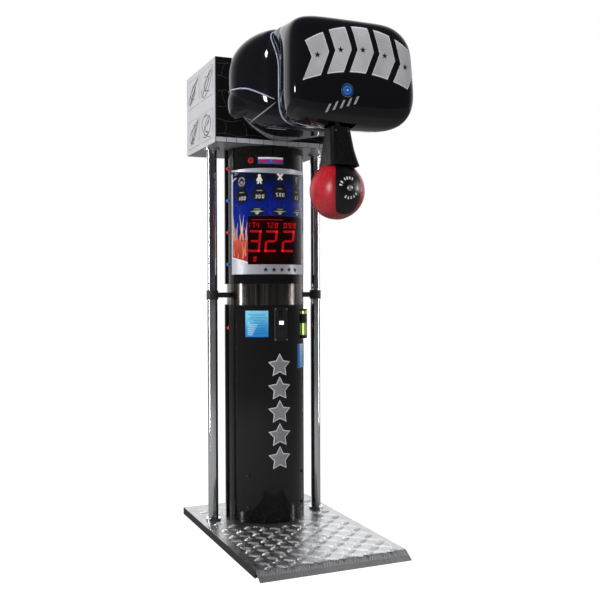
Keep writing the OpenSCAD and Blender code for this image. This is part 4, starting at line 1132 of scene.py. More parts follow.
def make_fist_graphic():
    """Arched silver chevrons with a pale edge and a black outline, where the machine carries a word."""
    count = 5

    def arch(t, s):
        """t runs from left to right, s from the lower edge to the upper one."""
        x = mix(-0.190, 0.300, t)
        low = 1.936 + 0.050 * max(0, math.sin(math.pi * t)) ** 0.9
        high = 2.082 + 0.100 * max(0, math.sin(math.pi * (t * 0.92 + 0.05))) ** 0.8 + 0.012 * t
        return mix(x, x + 0.010, s), mix(low, high, s)

    def chevron(i, grow):
        pad, tall = 0.075 - grow, 0.050 - grow
        t0, t1 = (i + pad) / count, (i + 1 - pad) / count
        point = 0.42 / count
        left = [(t0, tall), (t0 + point * 0.75, 0.5), (t0, 1 - tall)]
        right = [(t1 - point * 0.3, 1 - tall), (t1 + point * 0.45, 0.5), (t1 - point * 0.3, tall)]
        corners = left + right
        out = []
        for j, (t, s) in enumerate(corners):
            t2, s2 = corners[(j + 1) % len(corners)]
            for k in range(5):
                out.append(arch(mix(t, t2, k / 5), mix(s, s2, k / 5)))
        return out

    art("fist_chevrons_outline", [chevron(i, 0.030) for i in range(count)], 0.15, 0.5, "black_plastic",
        black_print,
        fist_front, 9)
    art("fist_chevrons_edge", [chevron(i, 0.0) for i in range(count)], 0.55, 0.9, "silver_film", white_print,
        fist_front, 9)
    art("fist_chevrons", [chevron(i, -0.022) for i in range(count)], 0.95, 1.3, "silver_film", chevron_silver,
        fist_front, 9)
    studs = []
    for i in range(count):
        u, w = arch((i + 0.62) / count, 0.5)
        studs.append(moved(star(0.0135, 0.42), u, w))
    art("fist_chevron_stars", studs, 1.35, 1.6, "black_plastic", black_print, fist_front, 9)
    slants = []
    for i in range(5):
        u = -0.088 + i * 0.030
        w = 1.832 + i * 0.0095
        slants.append([(u, w), (u + 0.010, w + 0.002), (u + 0.024, w + 0.034 + 0.004 * (i % 2)),
                       (u + 0.014, w + 0.032)])
    art("start_marks", slants, 0.2, 0.6, "silver_film", script_grey, fist_front, 9)


def make_start_ring():
    """Bright rim of the start button's bezel, and the dark print on its cap."""
    r = (start_high.x - start_low.x) / 2
    y = start_low.y + 0.0028
    rim = r + 0.0068
    ring = [Vector((start_mid.x + x, y, start_mid.z + z)) for x, z in ellipse(rim, rim, 48)]
    add_object("start_ring", tube_along("start_ring", ring, 0.0012, 8, closed=True), "stand", "chrome")

    def cap(u, w, d):
        return Vector((start_mid.x + u, start_low.y - d, start_mid.z + w))

    art("start_cap_print", [ellipse(0.0085, 0.0085, 28)], 0.02, 0.3, "button_blue", deep_blue, cap, 200,
        body="start_cap")
    art("start_cap_star", [star(0.006, 0.45)], 0.35, 0.5, "button_blue", white_print, cap, 200,
        body="start_cap")


def make_under_decals():
    """Two silver winged marks on the underside, either side of the arm's opening."""
    for i, (x, y) in enumerate(((-0.100, -0.462), (0.150, -0.455))):
        wing = [moved([(-0.052, 0.0), (-0.020, -0.016), (0.020, -0.016), (0.052, 0.004), (0.018, 0.002),
                       (0.0, 0.016),
                       (-0.018, 0.002)], x, y, 1.3)]
        art(f"under_decal_{i}", wing, 0.2, 0.6, "silver_film", white_print, fist_under, 9)
        art(f"under_decal_{i}_core", [moved(ellipse(0.016, 0.007, 20), x, y - 0.008)], 0.65, 0.9,
            "black_plastic",
            black_print, fist_under, 9)


# Distance of the poles from the middle, and the half size of the bare square round each foot.
POLE_X, POLE_CLEAR = 0.2703, 0.07


def make_tread_bars():
    """Five-bar pattern: groups of five raised bars, turned a quarter from one group to the next."""
    pitch = 0.056
    length, width, height = 0.034, 0.0058, 0.0011
    bm = bmesh.new()
    top = plate_high.z
    sections = 7
    nx = int((plate_high.x - plate_low.x - 0.01) / pitch)
    ny = int((box_high.y - 0.006 - (plate_low.y + 0.055)) / pitch)
    y0 = plate_low.y + 0.058
    for ix in range(nx):
        for iy in range(ny):
            cx = (ix - (nx - 1) / 2) * pitch
            cy = y0 + iy * pitch
            if cy > plate_high.y - 0.03:
                continue
            by_pole = abs(abs(cx) - POLE_X) < POLE_CLEAR and abs(cy - col_y) < POLE_CLEAR
            if math.hypot(cx - col_x, cy - col_y) < col_r + 0.045 or by_pole:
                continue
            turn = math.radians(45 if (ix + iy) % 2 else -45)
            ax, ay = math.cos(turn), math.sin(turn)
            for k in range(5):
                shift = (k - 2) * 0.0102
                reach = length / 2 * (1 - 0.12 * abs(k - 2))
                low_ring, mid_ring = [], []
                for side in (1, -1):
                    for j in range(sections):
                        t = side * mix(-1, 1, j / (sections - 1))
                        bulge = side * width / 2 * math.sqrt(max(0, 1 - t * t)) if abs(t) < 1 else 0
                        if abs(t) == 1 and side < 0:
                            continue
                        for ring, h, f in ((low_ring, -0.0003, 1.0), (mid_ring, height, 0.55)):
                            x = t * reach * (0.97 if f < 1 else 1)
                            y = shift + bulge * f
                            ring.append(bm.verts.new((cx + x * ax - y * ay, cy + x * ay + y * ax, top + h)))
                n = len(low_ring)
                for j in range(n):
                    m = (j + 1) % n
                    bm.faces.new((low_ring[j], low_ring[m], mid_ring[m], mid_ring[j]))
                bm.faces.new(mid_ring)
                bm.faces.new(low_ring[::-1])
    bmesh.ops.recalc_face_normals(bm, faces=bm.faces)
    lip_top, lip_foot = Vector((0, plate_low.y + 0.050, top)), Vector((0, plate_low.y, plate_low.z))
    down = (lip_foot - lip_top).normalized()
    face_out = Vector((0, down.z, -down.y))
    if face_out.z < 0:
        face_out = -face_out

    def lip(u, w, d):
        return lip_top + Vector((u, 0, 0)) + down * w + face_out * d

    length_down = (lip_foot - lip_top).length
    strokes = []
    for i in range(58):
        u = mix(plate_low.x + 0.012, plate_high.x - 0.012, i / 57)
        slant = 0.008 if (i // 3) % 2 else -0.008
        strokes.append([(u - slant - 0.0026, 0.010), (u - slant + 0.0026, 0.010),
                        (u + slant + 0.0026, length_down - 0.010),
                        (u + slant - 0.0026, length_down - 0.010)])
    # The bars are coloured far paler than the plate they stand on, a painted highlight on the same rolled
    # aluminium.
    lip_bars = draped("lip_bars", strokes, lip, (-0.0003, 0.0009), 1)
    add_object("lip_bars", lip_bars, "stand", "tread_aluminium", bar_metal_painted_highlight)
    mesh = bpy.data.meshes.new("tread_bars")
    bm.to_mesh(mesh)
    bm.free()
    add_object("tread_bars", smooth_by_angle(mesh, 30), "stand", "tread_aluminium", bar_metal_painted_highlight)


def make_plate_edges():
    """Black edging along the plate's two sides, behind the lip."""
    w = 0.0016
    y0, y1 = plate_low.y + 0.052, plate_high.y
    z0, z1 = plate_low.z + 0.0002, plate_high.z - 0.0006
    for tag, x0, x1 in (("left", plate_low.x - w, plate_low.x), ("right", plate_high.x, plate_high.x + w)):
        name = f"plate_edge_{tag}"
        add_object(name, box_mesh(name, (x0, y0, z0), (x1, y1, z1), 0.0004, 1), "stand", "black_paint")


def make_box_engraving():
    """Line art cut into the box's sides and front: beads of dark filler set in their grooves, with silver
    sheets on the sides and a bright strip at the front's foot, both painted reflection.
    """
    x = box_low.x

    def side(sign):
        def place(u, w, d):
            return Vector((sign * (abs(x) + d), u, w))
        return place

    y0, y1, z0, z1 = box_low.y, box_high.y, box_low.z, box_high.z
    ym, zm = (y0 + y1) / 2, (z0 + z1) / 2
    band = 0.017
    rims, lines = [], []
    cells = []
    for a, b in ((y0 + 0.030, ym - band), (ym + band, y1 - 0.022)):
        for c, d in ((z0 + 0.026, zm - band * 1.9), (zm + band * 1.9, z1 - 0.026)):
            cells.append((a, c, b, d))
    for n, (a, c, b, d) in enumerate(cells):
        rim = [(a, c), (b, c), (b, d), (a, d), (a, c)]
        rims.append([(mix(p[0], q[0], k / 6), mix(p[1], q[1], k / 6)) for p, q in zip(rim, rim[1:])
                     for k in range(6)])
        w, h = b - a, d - c
        mu, mw = (a + b) / 2, (c + d) / 2
        for k in range(4):
            phase = 1.3 * n + 1.7 * k
            curve = []
            reach_u, reach_w = w * (0.42 - 0.09 * k), h * (0.43 - 0.06 * k)
            turns_u, turns_w = 0.62 + 0.21 * k, 0.50 + 0.17 * ((n + k) % 3)
            for j in range(25):
                t = j / 24
                curve.append((mu + reach_u * math.sin(TURN * t * turns_u + phase),
                              mw + reach_w * math.cos(TURN * t * turns_w + phase * 1.4)))
            lines.append(curve)
    for sign, tag in ((-1, "left"), (1, "right")):
        place = side(sign)
        beads = [tube_along("bead", [place(u, w, -0.0008) for u, w in path], 0.0026, 6) for path in lines]
        add_object(f"box_art_{tag}", join_meshes("box_art", beads), "stand", "black_oxide", dark_line)
        beads = [tube_along("bead", [place(u, w, -0.0004) for u, w in path], 0.0012, 6) for path in rims]
        add_object(f"box_rims_{tag}", join_meshes("box_rims", beads), "stand", "black_oxide", dark_line)
        # The silver sheets in the cells are painted reflection, like the box's silver sides.
        sheets = draped("box_fields", [rectangle(*cell) for cell in cells], place, (0.0001, 0.0005), 1)
        add_object(f"box_fields_{tag}", sheets, "stand", "box_silver", field_painted_reflection)
    # Front panel: masonry courses with curved joints, and under them a bright strip along the foot, a painted
    # reflection of the pale floor.
    fy = front_low.y

    def face(u, w, d):
        return Vector((u, fy - d, w))

    courses = []
    rows = [front_low.z + 0.035 + i * (front_high.z - front_low.z - 0.06) / 5 for i in range(6)]
    for i, z in enumerate(rows):
        courses.append([(mix(front_low.x + 0.008, front_high.x - 0.008, j / 30),
                         z + 0.006 * math.sin(j * 0.9 + i * 2)) for j in range(31)])
    for i in range(5):
        for k in range(6):
            u = front_low.x + 0.02 + (k + 0.5 * (i % 2) + 0.2) * 0.100
            if u < front_high.x - 0.02:
                courses.append([(u + 0.010 * math.sin(3.0 * j / 8 + i + k), mix(rows[i], rows[i + 1], j / 8))
                                for j in range(9)])
    beads = [tube_along("bead", [face(u, w, -0.0008) for u, w in path], 0.0018, 6) for path in courses]
    add_object("front_courses", join_meshes("front_courses", beads), "stand", "black_oxide", soft_line)
    # Painted reflection: the pale floor mirrored along the panel's foot, split into cells at the grooves.
    reflection_low, reflection_high = box_low.z + 0.0005, box_low.z + 0.022
    cells = []
    edges = [-0.312, -0.262, -0.214, -0.150, -0.082, -0.030, 0.038, 0.096, 0.150, 0.206, 0.262, 0.312]
    for a, b in zip(edges, edges[1:]):
        cells.append(rectangle(a + 0.0012, reflection_low, b - 0.0012, reflection_high))
    add_object("front_foot_painted_reflection", draped("front_foot_painted_reflection", cells, face, (0.0001, 0.0012), 1), "stand",
               "box_silver",
               foot_painted_floor_reflection)


def on_ball(azimuth, height, d=0.0):
    """Place on the ball's leather: azimuth in radians from the front, height angle in radians."""
    squeeze = 1 - 0.085 * max(0, math.sin(height)) ** 2
    r = ball_r + d
    x = r * squeeze * math.cos(height) * math.sin(azimuth)
    y = -r * squeeze * math.cos(height) * math.cos(azimuth)
    z = (r + 0.0035 + 0.0045 * max(0, math.sin(height))) * math.sin(height)
    return ball_mid + Vector((x, y, z))


def make_ball():
    """Stuffed leather ball: eight gores puffed between their seams, creased towards the neck."""
    across, rows = 12, 72
    borders = [math.radians(v) for v in (-29.5, 29.5, 74, 119, 164, 209, 254, 299, 330.5)]
    azimuths = []
    for a, b in zip(borders, borders[1:]):
        azimuths += [mix(a, b, k / across) for k in range(across)]
    count = len(azimuths)
    verts, faces = [], []
    for j in range(1, rows):
        height = math.pi * (j / rows - 0.5)
        for i, az in enumerate(azimuths):
            t = (i % across) / across
            puff = math.sin(math.pi * t) ** 0.45 if t else 0.0
            fade = math.cos(height) ** 0.5
            dent = -0.0026 * (1 - puff) * fade
            direction = on_ball(az, height) - ball_mid
            crease = noise.noise(direction * 26) * 0.0010 + noise.noise(direction * 9
                                                                        + Vector((3, 1, 7))) * 0.0016
            pull = 0.0012 * math.sin(az * 22
                                     + 3 * noise.noise(direction * 12)) * max(0,
                                                                              math.sin(height) - 0.62) / 0.38
            verts.append(on_ball(az, height, dent + crease + pull - 0.001))
    for j in range(rows - 2):
        for i in range(count):
            k = (i + 1) % count
            faces.append((j * count + i, j * count + k, (j + 1) * count + k, (j + 1) * count + i))
    verts += [on_ball(0, -math.pi / 2), on_ball(0, math.pi / 2)]
    low_tip, high_tip = len(verts) - 2, len(verts) - 1
    for i in range(count):
        k = (i + 1) % count
        faces.append((low_tip, k, i))
        faces.append((high_tip, (rows - 2) * count + i, (rows - 2) * count + k))
    mesh = fix_normals(mesh_from("ball_cover", verts, faces))
    piece = add_object("ball_cover", mesh, "ball_arm", "red_leather")
    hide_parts("ball")
    # The black front panel, sewn over the red gores, with a rounded foot.
    outline = []
    half, foot, head = math.radians(29), math.radians(-57), math.radians(72)
    for i in range(25):
        a = math.pi + math.pi * i / 24
        outline.append((half * spow(math.cos(a), 0.55),
                        foot + math.radians(14) + math.radians(14) * math.sin(a)))
    outline += [(half, mix(foot + math.radians(14), head, i / 8)) for i in range(1, 9)]
    outline += [(-half, mix(head, foot + math.radians(14), i / 8)) for i in range(0, 8)]

    def skin(u, w, d):
        direction = on_ball(u, w) - ball_mid
        return on_ball(u, w, d + noise.noise(direction * 22) * 0.0007)

    panel = draped("ball_front_panel", [outline], skin, (-0.003, 0.0016), math.radians(3), smooth=True)
    panel_piece = add_object("ball_front_panel", panel, "ball_arm", "black_leather")
    stitches = []
    for i in range(0, 140, 2):
        w = mix(foot + math.radians(12), head, i / 139)
        for side in (-1, 1):
            seam = side * (half + 0.014 / max(0.25, math.cos(w)))
            a, b = on_ball(seam, w, 0.0008), on_ball(seam, w + 0.010, 0.0008)
            crown = (a + b) / 2 + (a - ball_mid).normalized() * 0.0004
            stitches.append(tube_along("stitch", [a, crown, b], 0.0006, 5))
    add_object("ball_stitches", join_meshes("ball_stitches", stitches), "ball_arm", "black_leather",
               thread_red)
    plug = Vector((ball_mid.x, ball_mid.y - ball_r, ball_mid.z))
    rings = []
    for r, out in ((0.0115, -0.004), (0.0118, 0.0016), (0.0108, 0.0030), (0.0085, 0.0036), (0.0070, 0.0026),
                   (0.0035, 0.0030),
                   (0.0008, 0.0031)):
        rings.append([plug + Vector((r * math.cos(TURN * i / 40), -out, r * math.sin(TURN * i / 40)))
                      for i in range(40)])
    knob = add_object("ball_plug_cap", smooth_by_angle(loft("plug", rings), 35), "ball_arm", "chrome",
                      materials["rivet"])
    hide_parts("ball_plug")
    # Marks round the plug, and one star, where the machine carries a few words.
    marks = []
    for deg in (-75, -57, -30, -12, 6, 24, 125, 145, 165, 185, 205):
        a = math.radians(deg)
        bar = [(-0.0022, 0.032), (0.0022, 0.032), (0.0030, 0.043), (-0.0030, 0.043)]
        marks.append([((x * math.cos(a) + y * math.sin(a)) / ball_r,
                       (y * math.cos(a) - x * math.sin(a)) / ball_r)
                      for x, y in bar])
    marks.append([(x / ball_r, y / ball_r) for x, y in moved(star(0.0105, 0.42), 0.0365, -0.001)])
    art("ball_marks", marks, 1.7, 2.1, "silver_film", white_print, skin, 60, body="ball_arm")


SLEEVE_TOP, SLEEVE_LOW = 1.787, 1.632


def sheet_mesh(name, place, nu, nv, thick):
    """A closed sheet of even thickness round the surface place(s, t), with s and t from 0 to 1."""
    mid = [[place(i / nu, j / nv) for i in range(nu + 1)] for j in range(nv + 1)]
    outer, inner = [], []
    for j in range(nv + 1):
        for i in range(nu + 1):
            du = mid[j][min(i + 1, nu)] - mid[j][max(i - 1, 0)]
            dv = mid[min(j + 1, nv)][i] - mid[max(j - 1, 0)][i]
            normal = du.cross(dv).normalized()
            outer.append(mid[j][i] + normal * thick / 2)
            inner.append(mid[j][i] - normal * thick / 2)
    half = len(outer)
    verts = outer + inner

    def at(i, j):
        return j * (nu + 1) + i

    faces = []
    for j in range(nv):
        for i in range(nu):
            faces.append((at(i, j), at(i + 1, j), at(i + 1, j + 1), at(i, j + 1)))
            faces.append((half + at(i, j), half + at(i, j + 1), half + at(i + 1, j + 1), half + at(i + 1, j)))
    for i in range(nu):
        faces.append((at(i, 0), half + at(i, 0), half + at(i + 1, 0), at(i + 1, 0)))
        faces.append((at(i, nv), at(i + 1, nv), half + at(i + 1, nv), half + at(i, nv)))
    for j in range(nv):
        faces.append((at(0, j), at(0, j + 1), half + at(0, j + 1), half + at(0, j)))
        faces.append((at(nu, j), half + at(nu, j), half + at(nu, j + 1), at(nu, j + 1)))
    return smooth_by_angle(fix_normals(mesh_from(name, verts, faces)), 50)


def flap_section(s, half_x, reach, wrap, corner):
    """A U seen from above: s runs round it; reach is its distance out from the arm."""
    corner = min(corner, half_x * 0.9, reach * 0.9)
    straight = max(reach - corner - wrap, 0.0)
    bend = corner * math.pi / 2
    flat = 2 * (half_x - corner)
    total = 2 * straight + 2 * bend + flat
    sign, at = (-1, s * total) if s * total <= total / 2 else (1, total - s * total)
    if at < straight:
        return sign * half_x, wrap + at
    if at < straight + bend:
        a = (at - straight) / corner
        return sign * (half_x - corner + corner * math.cos(a)), reach - corner + corner * math.sin(a)
    return sign * (half_x - corner - (at - straight - bend)), reach


def make_sleeve():
    """Two leather flaps hung from the arm's collar, open down the sides."""
    length = SLEEVE_TOP - SLEEVE_LOW

    def front_flap(s, t):
        half_x = mix(0.0435, 0.0585, t ** 1.15)
        reach = mix(0.042, 0.084, t ** 1.1)
        x, out = flap_section(s, half_x, reach, -0.012, 0.020)
        # The lower right corner stands off, as leather does that has taken a set.
        lift = max(0, t - 0.55) ** 1.6 * 0.055 * max(0, s - 0.45) ** 1.2 * 2.2
        ripple = 0.0016 * t * math.sin(7 * s + 2.3) + 0.0010 * noise.noise(Vector((6 * s, 5 * t, 1.7)))
        droop = -0.008 * max(0, s - 0.5) * t
        return Vector((x + lift * 0.55, ball_mid.y - out - lift * 0.75 - ripple,
                       SLEEVE_TOP - length * t + droop))

    def rear_flap(s, t):
        half_x = mix(0.0405, 0.0570, t ** 1.2)
        reach = mix(0.040, 0.062, t)
        x, out = flap_section(s, half_x, reach, -0.004, 0.020)
        ripple = 0.0018 * t * math.sin(6 * s + 0.6) + 0.0010 * noise.noise(Vector((5 * s, 4 * t, 5.1)))
        lift = max(0, t - 0.6) ** 1.5 * 0.030 * max(0, 0.35 - s)
        return Vector((-x - lift, ball_mid.y + out + ripple,
                       SLEEVE_TOP - 0.001 - (length - 0.002) * t * 0.985))

    def girth(place, t):
        ring = [place(i / 40, t) for i in range(41)]
        return sum((b - a).length for a, b in zip(ring, ring[1:]))

    for name, place in (("sleeve_front_flap", front_flap), ("sleeve_rear_flap", rear_flap)):
        rows = [girth(place, 0.0), girth(place, 1.0)]
        mesh = sheet_mesh(name, place, 56, 40, 0.0026)
        piece = add_object(name, mesh, "ball_arm", "black_leather")
        hem = []
        # Stitches along the lower hem, then up both sides.
        for line in (lambda q: place(q, 0.965), lambda q: place(0.03, q), lambda q: place(0.97, q)):
            for i in range(34):
                q0, q1 = 0.03 + 0.94 * i / 34, 0.03 + 0.94 * (i + 0.55) / 34
                a, b = line(q0), line(q1)
                away = Vector((a.x, a.y - ball_mid.y, 0)).normalized() * 0.0015
                hem.append(tube_along("stitch", [a + away, (a + b) / 2 + away * 1.2, b + away], 0.0005, 5))
        add_object(name + "_stitches", join_meshes("hem", hem), "ball_arm", "black_leather", thread_black)
    collar = []
    for j in range(5):
        t = j / 4
        z = mix(SLEEVE_TOP - 0.012, SLEEVE_TOP + 0.004, t)
        ring = []
        for i in range(48):
            a = TURN * i / 48
            ring.append(Vector((0.0425 * spow(math.cos(a), 0.5),
                                ball_mid.y + 0.0405 * spow(math.sin(a), 0.5), z)))
        collar.append(ring)
    band = loft("sleeve_core", collar)
    add_object("sleeve_core", smooth_by_angle(band, 40), "ball_arm", "black_leather")
    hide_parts("sleeve")


def make_piping():
    """Beads along the wrist seam and along the thumb's upper edge, pale bluish white as a painted highlight
    along those edges.
    """
    ring = cuff_ring(0.012, -0.0015, 200)
    mesh = tube_along("wrist_piping", ring, 0.0030, 10, closed=True)
    add_object("wrist_piping", mesh, "stand", "label_blue", piping_painted_highlight)
    hull = BVHTree.FromPolygons(*shape_of(join_meshes("wrist_hull", [thumb_mesh(), cuff_mesh(0, 0)])))

    def bead(name, path, radius, material):
        points = []
        for a, b in zip(path, path[1:]):
            for k in range(10):
                p = Vector(a).lerp(Vector(b), k / 10)
                inward = (Vector((0.02, p.y + 0.04, 2.03)) - p).normalized()
                at, _, _, _ = hull.ray_cast(p - inward * 0.15, inward)
                points.append(at - inward * 0.001)
        soft = [sum((points[min(max(i + d, 0), len(points) - 1)] for d in range(-3, 4)), Vector()) / 7
                for i in range(len(points))]
        add_object(name, tube_along(name, soft,
                                    lambda t: radius * (0.35 + 0.65 * math.sin(math.pi * t) ** 0.6), 8),
                   "stand", "label_blue", material)

    bead("thumb_piping", [(-0.292, 0.03, 2.003), (-0.296, -0.04, 2.009), (-0.295, -0.089, 2.006),
                          (-0.279, -0.125, 2.004),
                          (-0.258, -0.157, 1.998), (-0.230, -0.188, 1.981), (-0.196, -0.221, 1.960),
                          (-0.161, -0.245, 1.941)], 0.0032, piping_painted_highlight)
    bead("thumb_crease", [(-0.161, -0.245, 1.934), (-0.188, -0.224, 1.908), (-0.217, -0.171, 1.881),
                          (-0.222, -0.110, 1.872), (-0.215, -0.050, 1.868)], 0.0026, grey_print)


def make_lamp_rims():
    """A thin chrome ring round the foot of each side lamp."""
    rings = []
    for node in ("lamps_red", "lamps_blue"):
        verts = [v.co for v in frame["nodes"][node].data.vertices]
        groups = []
        for v in verts:
            for g in groups:
                if abs(g[0].z - v.z) < 0.03 and (g[0].x > 0) == (v.x > 0):
                    g.append(v)
                    break
            else:
                groups.append([v])
        for g in groups:
            centre = sum(g, Vector()) / len(g)
            out = Vector((centre.x - col_x, centre.y - col_y, 0)).normalized()
            base = Vector((col_x, col_y, 0)) + out * (col_r + 0.0012)
            low, high = min(v.z for v in g), max(v.z for v in g)
            along = Vector((-out.y, out.x, 0))
            r = (high - low) / 2 + 0.0012
            ring = [Vector((base.x, base.y, (low + high) / 2)) + along * (r * math.cos(TURN * i / 32))
                    + Vector((0, 0, r * math.sin(TURN * i / 32))) for i in range(32)]
            rings.append(tube_along("rim", ring, 0.0011, 6, closed=True))
    add_object("lamp_rims", join_meshes("lamp_rims", rings), "stand", "chrome")


# ---------- Materials of the artwork ----------

# Films below with a glow above zero carry a painted glow.
deep_blue = printed("deep_blue_film", (0.001, 0.003, 0.02), (0.002, 0.006, 0.05), 0.3, 0.1)
ink_red_black = printed("ink_red_black", (0.020, 0.002, 0.002), (0.05, 0.002, 0.004), 0.35)
yellow_print = printed("yellow_print", (0.72, 0.62, 0.05), (0.80, 0.70, 0.12), 0.35, 0.2)
pale_print = printed("pale_print", (0.40, 0.44, 0.42), (0.55, 0.60, 0.58), 0.35, 0.1)
flame_red = graded("flame_red", 1.275, 1.42,
                   [(0.0, (0.28, 0.010, 0.016)), (0.5, (0.38, 0.035, 0.024)), (1.0, (0.48, 0.10, 0.05))],
                   0.3, 0.35, 0.05)
flame_cream = graded("flame_cream", 1.36, 1.50,
                     [(0.0, (0.60, 0.22, 0.10)), (0.4, (0.70, 0.42, 0.22)), (1.0, (0.72, 0.56, 0.34))],
                     0.3, 0.35, 0.02)
flame_orange = graded("flame_orange", 1.28, 1.38, [(0.0, (0.60, 0.20, 0.08)), (1.0, (0.66, 0.42, 0.20))],
                      0.3, 0.3, 0.03)
flame_pink = graded("flame_pink", 1.26, 1.44,
                    [(0.0, (0.80, 0.42, 0.36)), (0.6, (0.82, 0.55, 0.48)), (1.0, (0.70, 0.66, 0.70))],
                    0.3, 0.4, 0.03)
window_film = lacquer("window_film", (0.010, 0.0015, 0.002), 0.03, 40)
dim_red = lit_plastic("dim_red", (0.32, 0.004, 0.010), 0.35)
dark_red = lit_plastic("dark_red", (0.10, 0.003, 0.004), 0.05)
# Red bars printed on the header's tag, with a painted glow: no lamp is behind them.
tag_red_painted_glow = lit_plastic("tag_red_painted_glow", (0.45, 0.01, 0.06), 0.3)
label_ink = printed("label_ink", (0.010, 0.13, 0.36), (0.015, 0.20, 0.45), 0.4, 0.05)
label_sky = graded("label_sky", 0.76, 0.88,
                   [(0.0, (0.10, 0.34, 0.62)), (0.6, (0.30, 0.60, 0.82)), (1.0, (0.70, 0.80, 0.88))],
                   0.3, 0.2)
label_pale = printed("label_pale", (0.55, 0.76, 0.82), (0.70, 0.86, 0.84), 0.4, 0.25)
star_inlay = brushed("star_inlay", (0.44, 0.44, 0.48), 0.30, (9, 9, 9), 0.03, 0.22, 0.4)
edge_grey = moulded("edge_grey", (0.10, 0.10, 0.11), 0.35, 900, 0.1)
lit_white = lit_plastic("lit_white", (0.95, 0.96, 0.95), 1.3)
chevron_silver = printed("chevron_silver", (0.42, 0.41, 0.43), (0.56, 0.55, 0.57), 0.30, 0.14, 6)
script_grey = printed("script_grey", (0.36, 0.36, 0.36), (0.44, 0.43, 0.43), 0.4, 0.1)
# Near-white tread bars: painted highlight on the plate's own aluminium.
bar_metal_painted_highlight = tread_metal("bar_metal_painted_highlight", (0.96, 0.965, 0.97))
# Painted reflection in silver, for the sheets on the box's sides.
field_painted_reflection = painted_reflection_silver()
soft_line = moulded("soft_line", (0.035, 0.035, 0.042), 0.30, 900, 0.1)
# Bright silver strip at the front panel's foot: painted reflection of the floor.
foot_painted_floor_reflection = brushed("foot_painted_floor_reflection", (0.72, 0.72, 0.78), 0.30, (6, 60, 60), 0.08, 0.1, 0.1)

# ---------- Making it all ----------

make_display_trims()
make_foot_strip_stars()
make_badges()
make_flames()
make_window_marks()
make_digits()
make_header()
make_labels()
make_stars()
make_coin_details()
make_validator_lights()
make_fist_graphic()
make_start_ring()
make_under_decals()
make_tread_bars()
make_plate_edges()
make_box_engraving()
make_ball()
make_sleeve()
make_piping()
make_lamp_rims()


# ---------- Stage, camera and light ----------

def make_floor():
    """A white studio sweep, bright enough to run into the white behind it."""
    mesh = mesh_from("floor", [(-60, -60, 0), (60, -60, 0), (60, 60, 0), (-60, 60, 0)], [(0, 1, 2, 3)], False)
    floor = link_object("floor", mesh)
    material, n = new_material("studio_floor", (0.30, 0.30, 0.30), 0.9, Specular_IOR_Level=0.1)
    tone = n.ramp(n.noise(n.coords(), 3, 3, 0.5), [(0.3, (0.29, 0.29, 0.29)), (0.7, (0.31, 0.31, 0.31))])
    ray = n.add("ShaderNodeLightPath")
    n.set(Base_Color=tone, Emission_Color=(1, 1, 1, 1))
    n.set(Emission_Strength=n.span(ray.outputs["Is Camera Ray"], 0.05, 0.97, (0, 1)))
    mesh.materials.append(material)


CAMERA_AT = Vector((-1.4815, -3.5509, 1.1466))
CAMERA_YAW, CAMERA_PITCH, CAMERA_ROLL = -23.2966, 0.8043, -0.1901
CAMERA_LENS = 50.521


def make_camera():
    a, e, roll = (math.radians(v) for v in (CAMERA_YAW, CAMERA_PITCH, CAMERA_ROLL))
    back = Vector((math.sin(a) * math.cos(e), -math.cos(a) * math.cos(e), math.sin(e)))
    right = Vector((math.cos(a), math.sin(a), 0))
    up = back.cross(right)
    right2 = right * math.cos(roll) + up * math.sin(roll)
    up2 = up * math.cos(roll) - right * math.sin(roll)
    camera = link_object("camera", bpy.data.cameras.new("camera"))
    camera.data.sensor_width = 36
    camera.data.lens = CAMERA_LENS
    camera.data.clip_end = 60
    camera.matrix_world = Matrix((
        (right2.x, up2.x, back.x, CAMERA_AT.x),
        (right2.y, up2.y, back.y, CAMERA_AT.y),
        (right2.z, up2.z, back.z, CAMERA_AT.z),
        (0, 0, 0, 1),
    ))
    bpy.context.scene.camera = camera


def softbox(name, place, target, width, height, power, mirrored=False):
    light = bpy.data.lights.new(name, "AREA")
    light.shape = "RECTANGLE"
    light.size, light.size_y = width, height
    light.energy = power
    lamp = link_object(name, light)
    lamp.visible_glossy = mirrored
    lamp.location = place
    lamp.rotation_mode = "QUATERNION"
    lamp.rotation_quaternion = (Vector(target) - Vector(place)).to_track_quat("-Z", "Y")
    return lamp


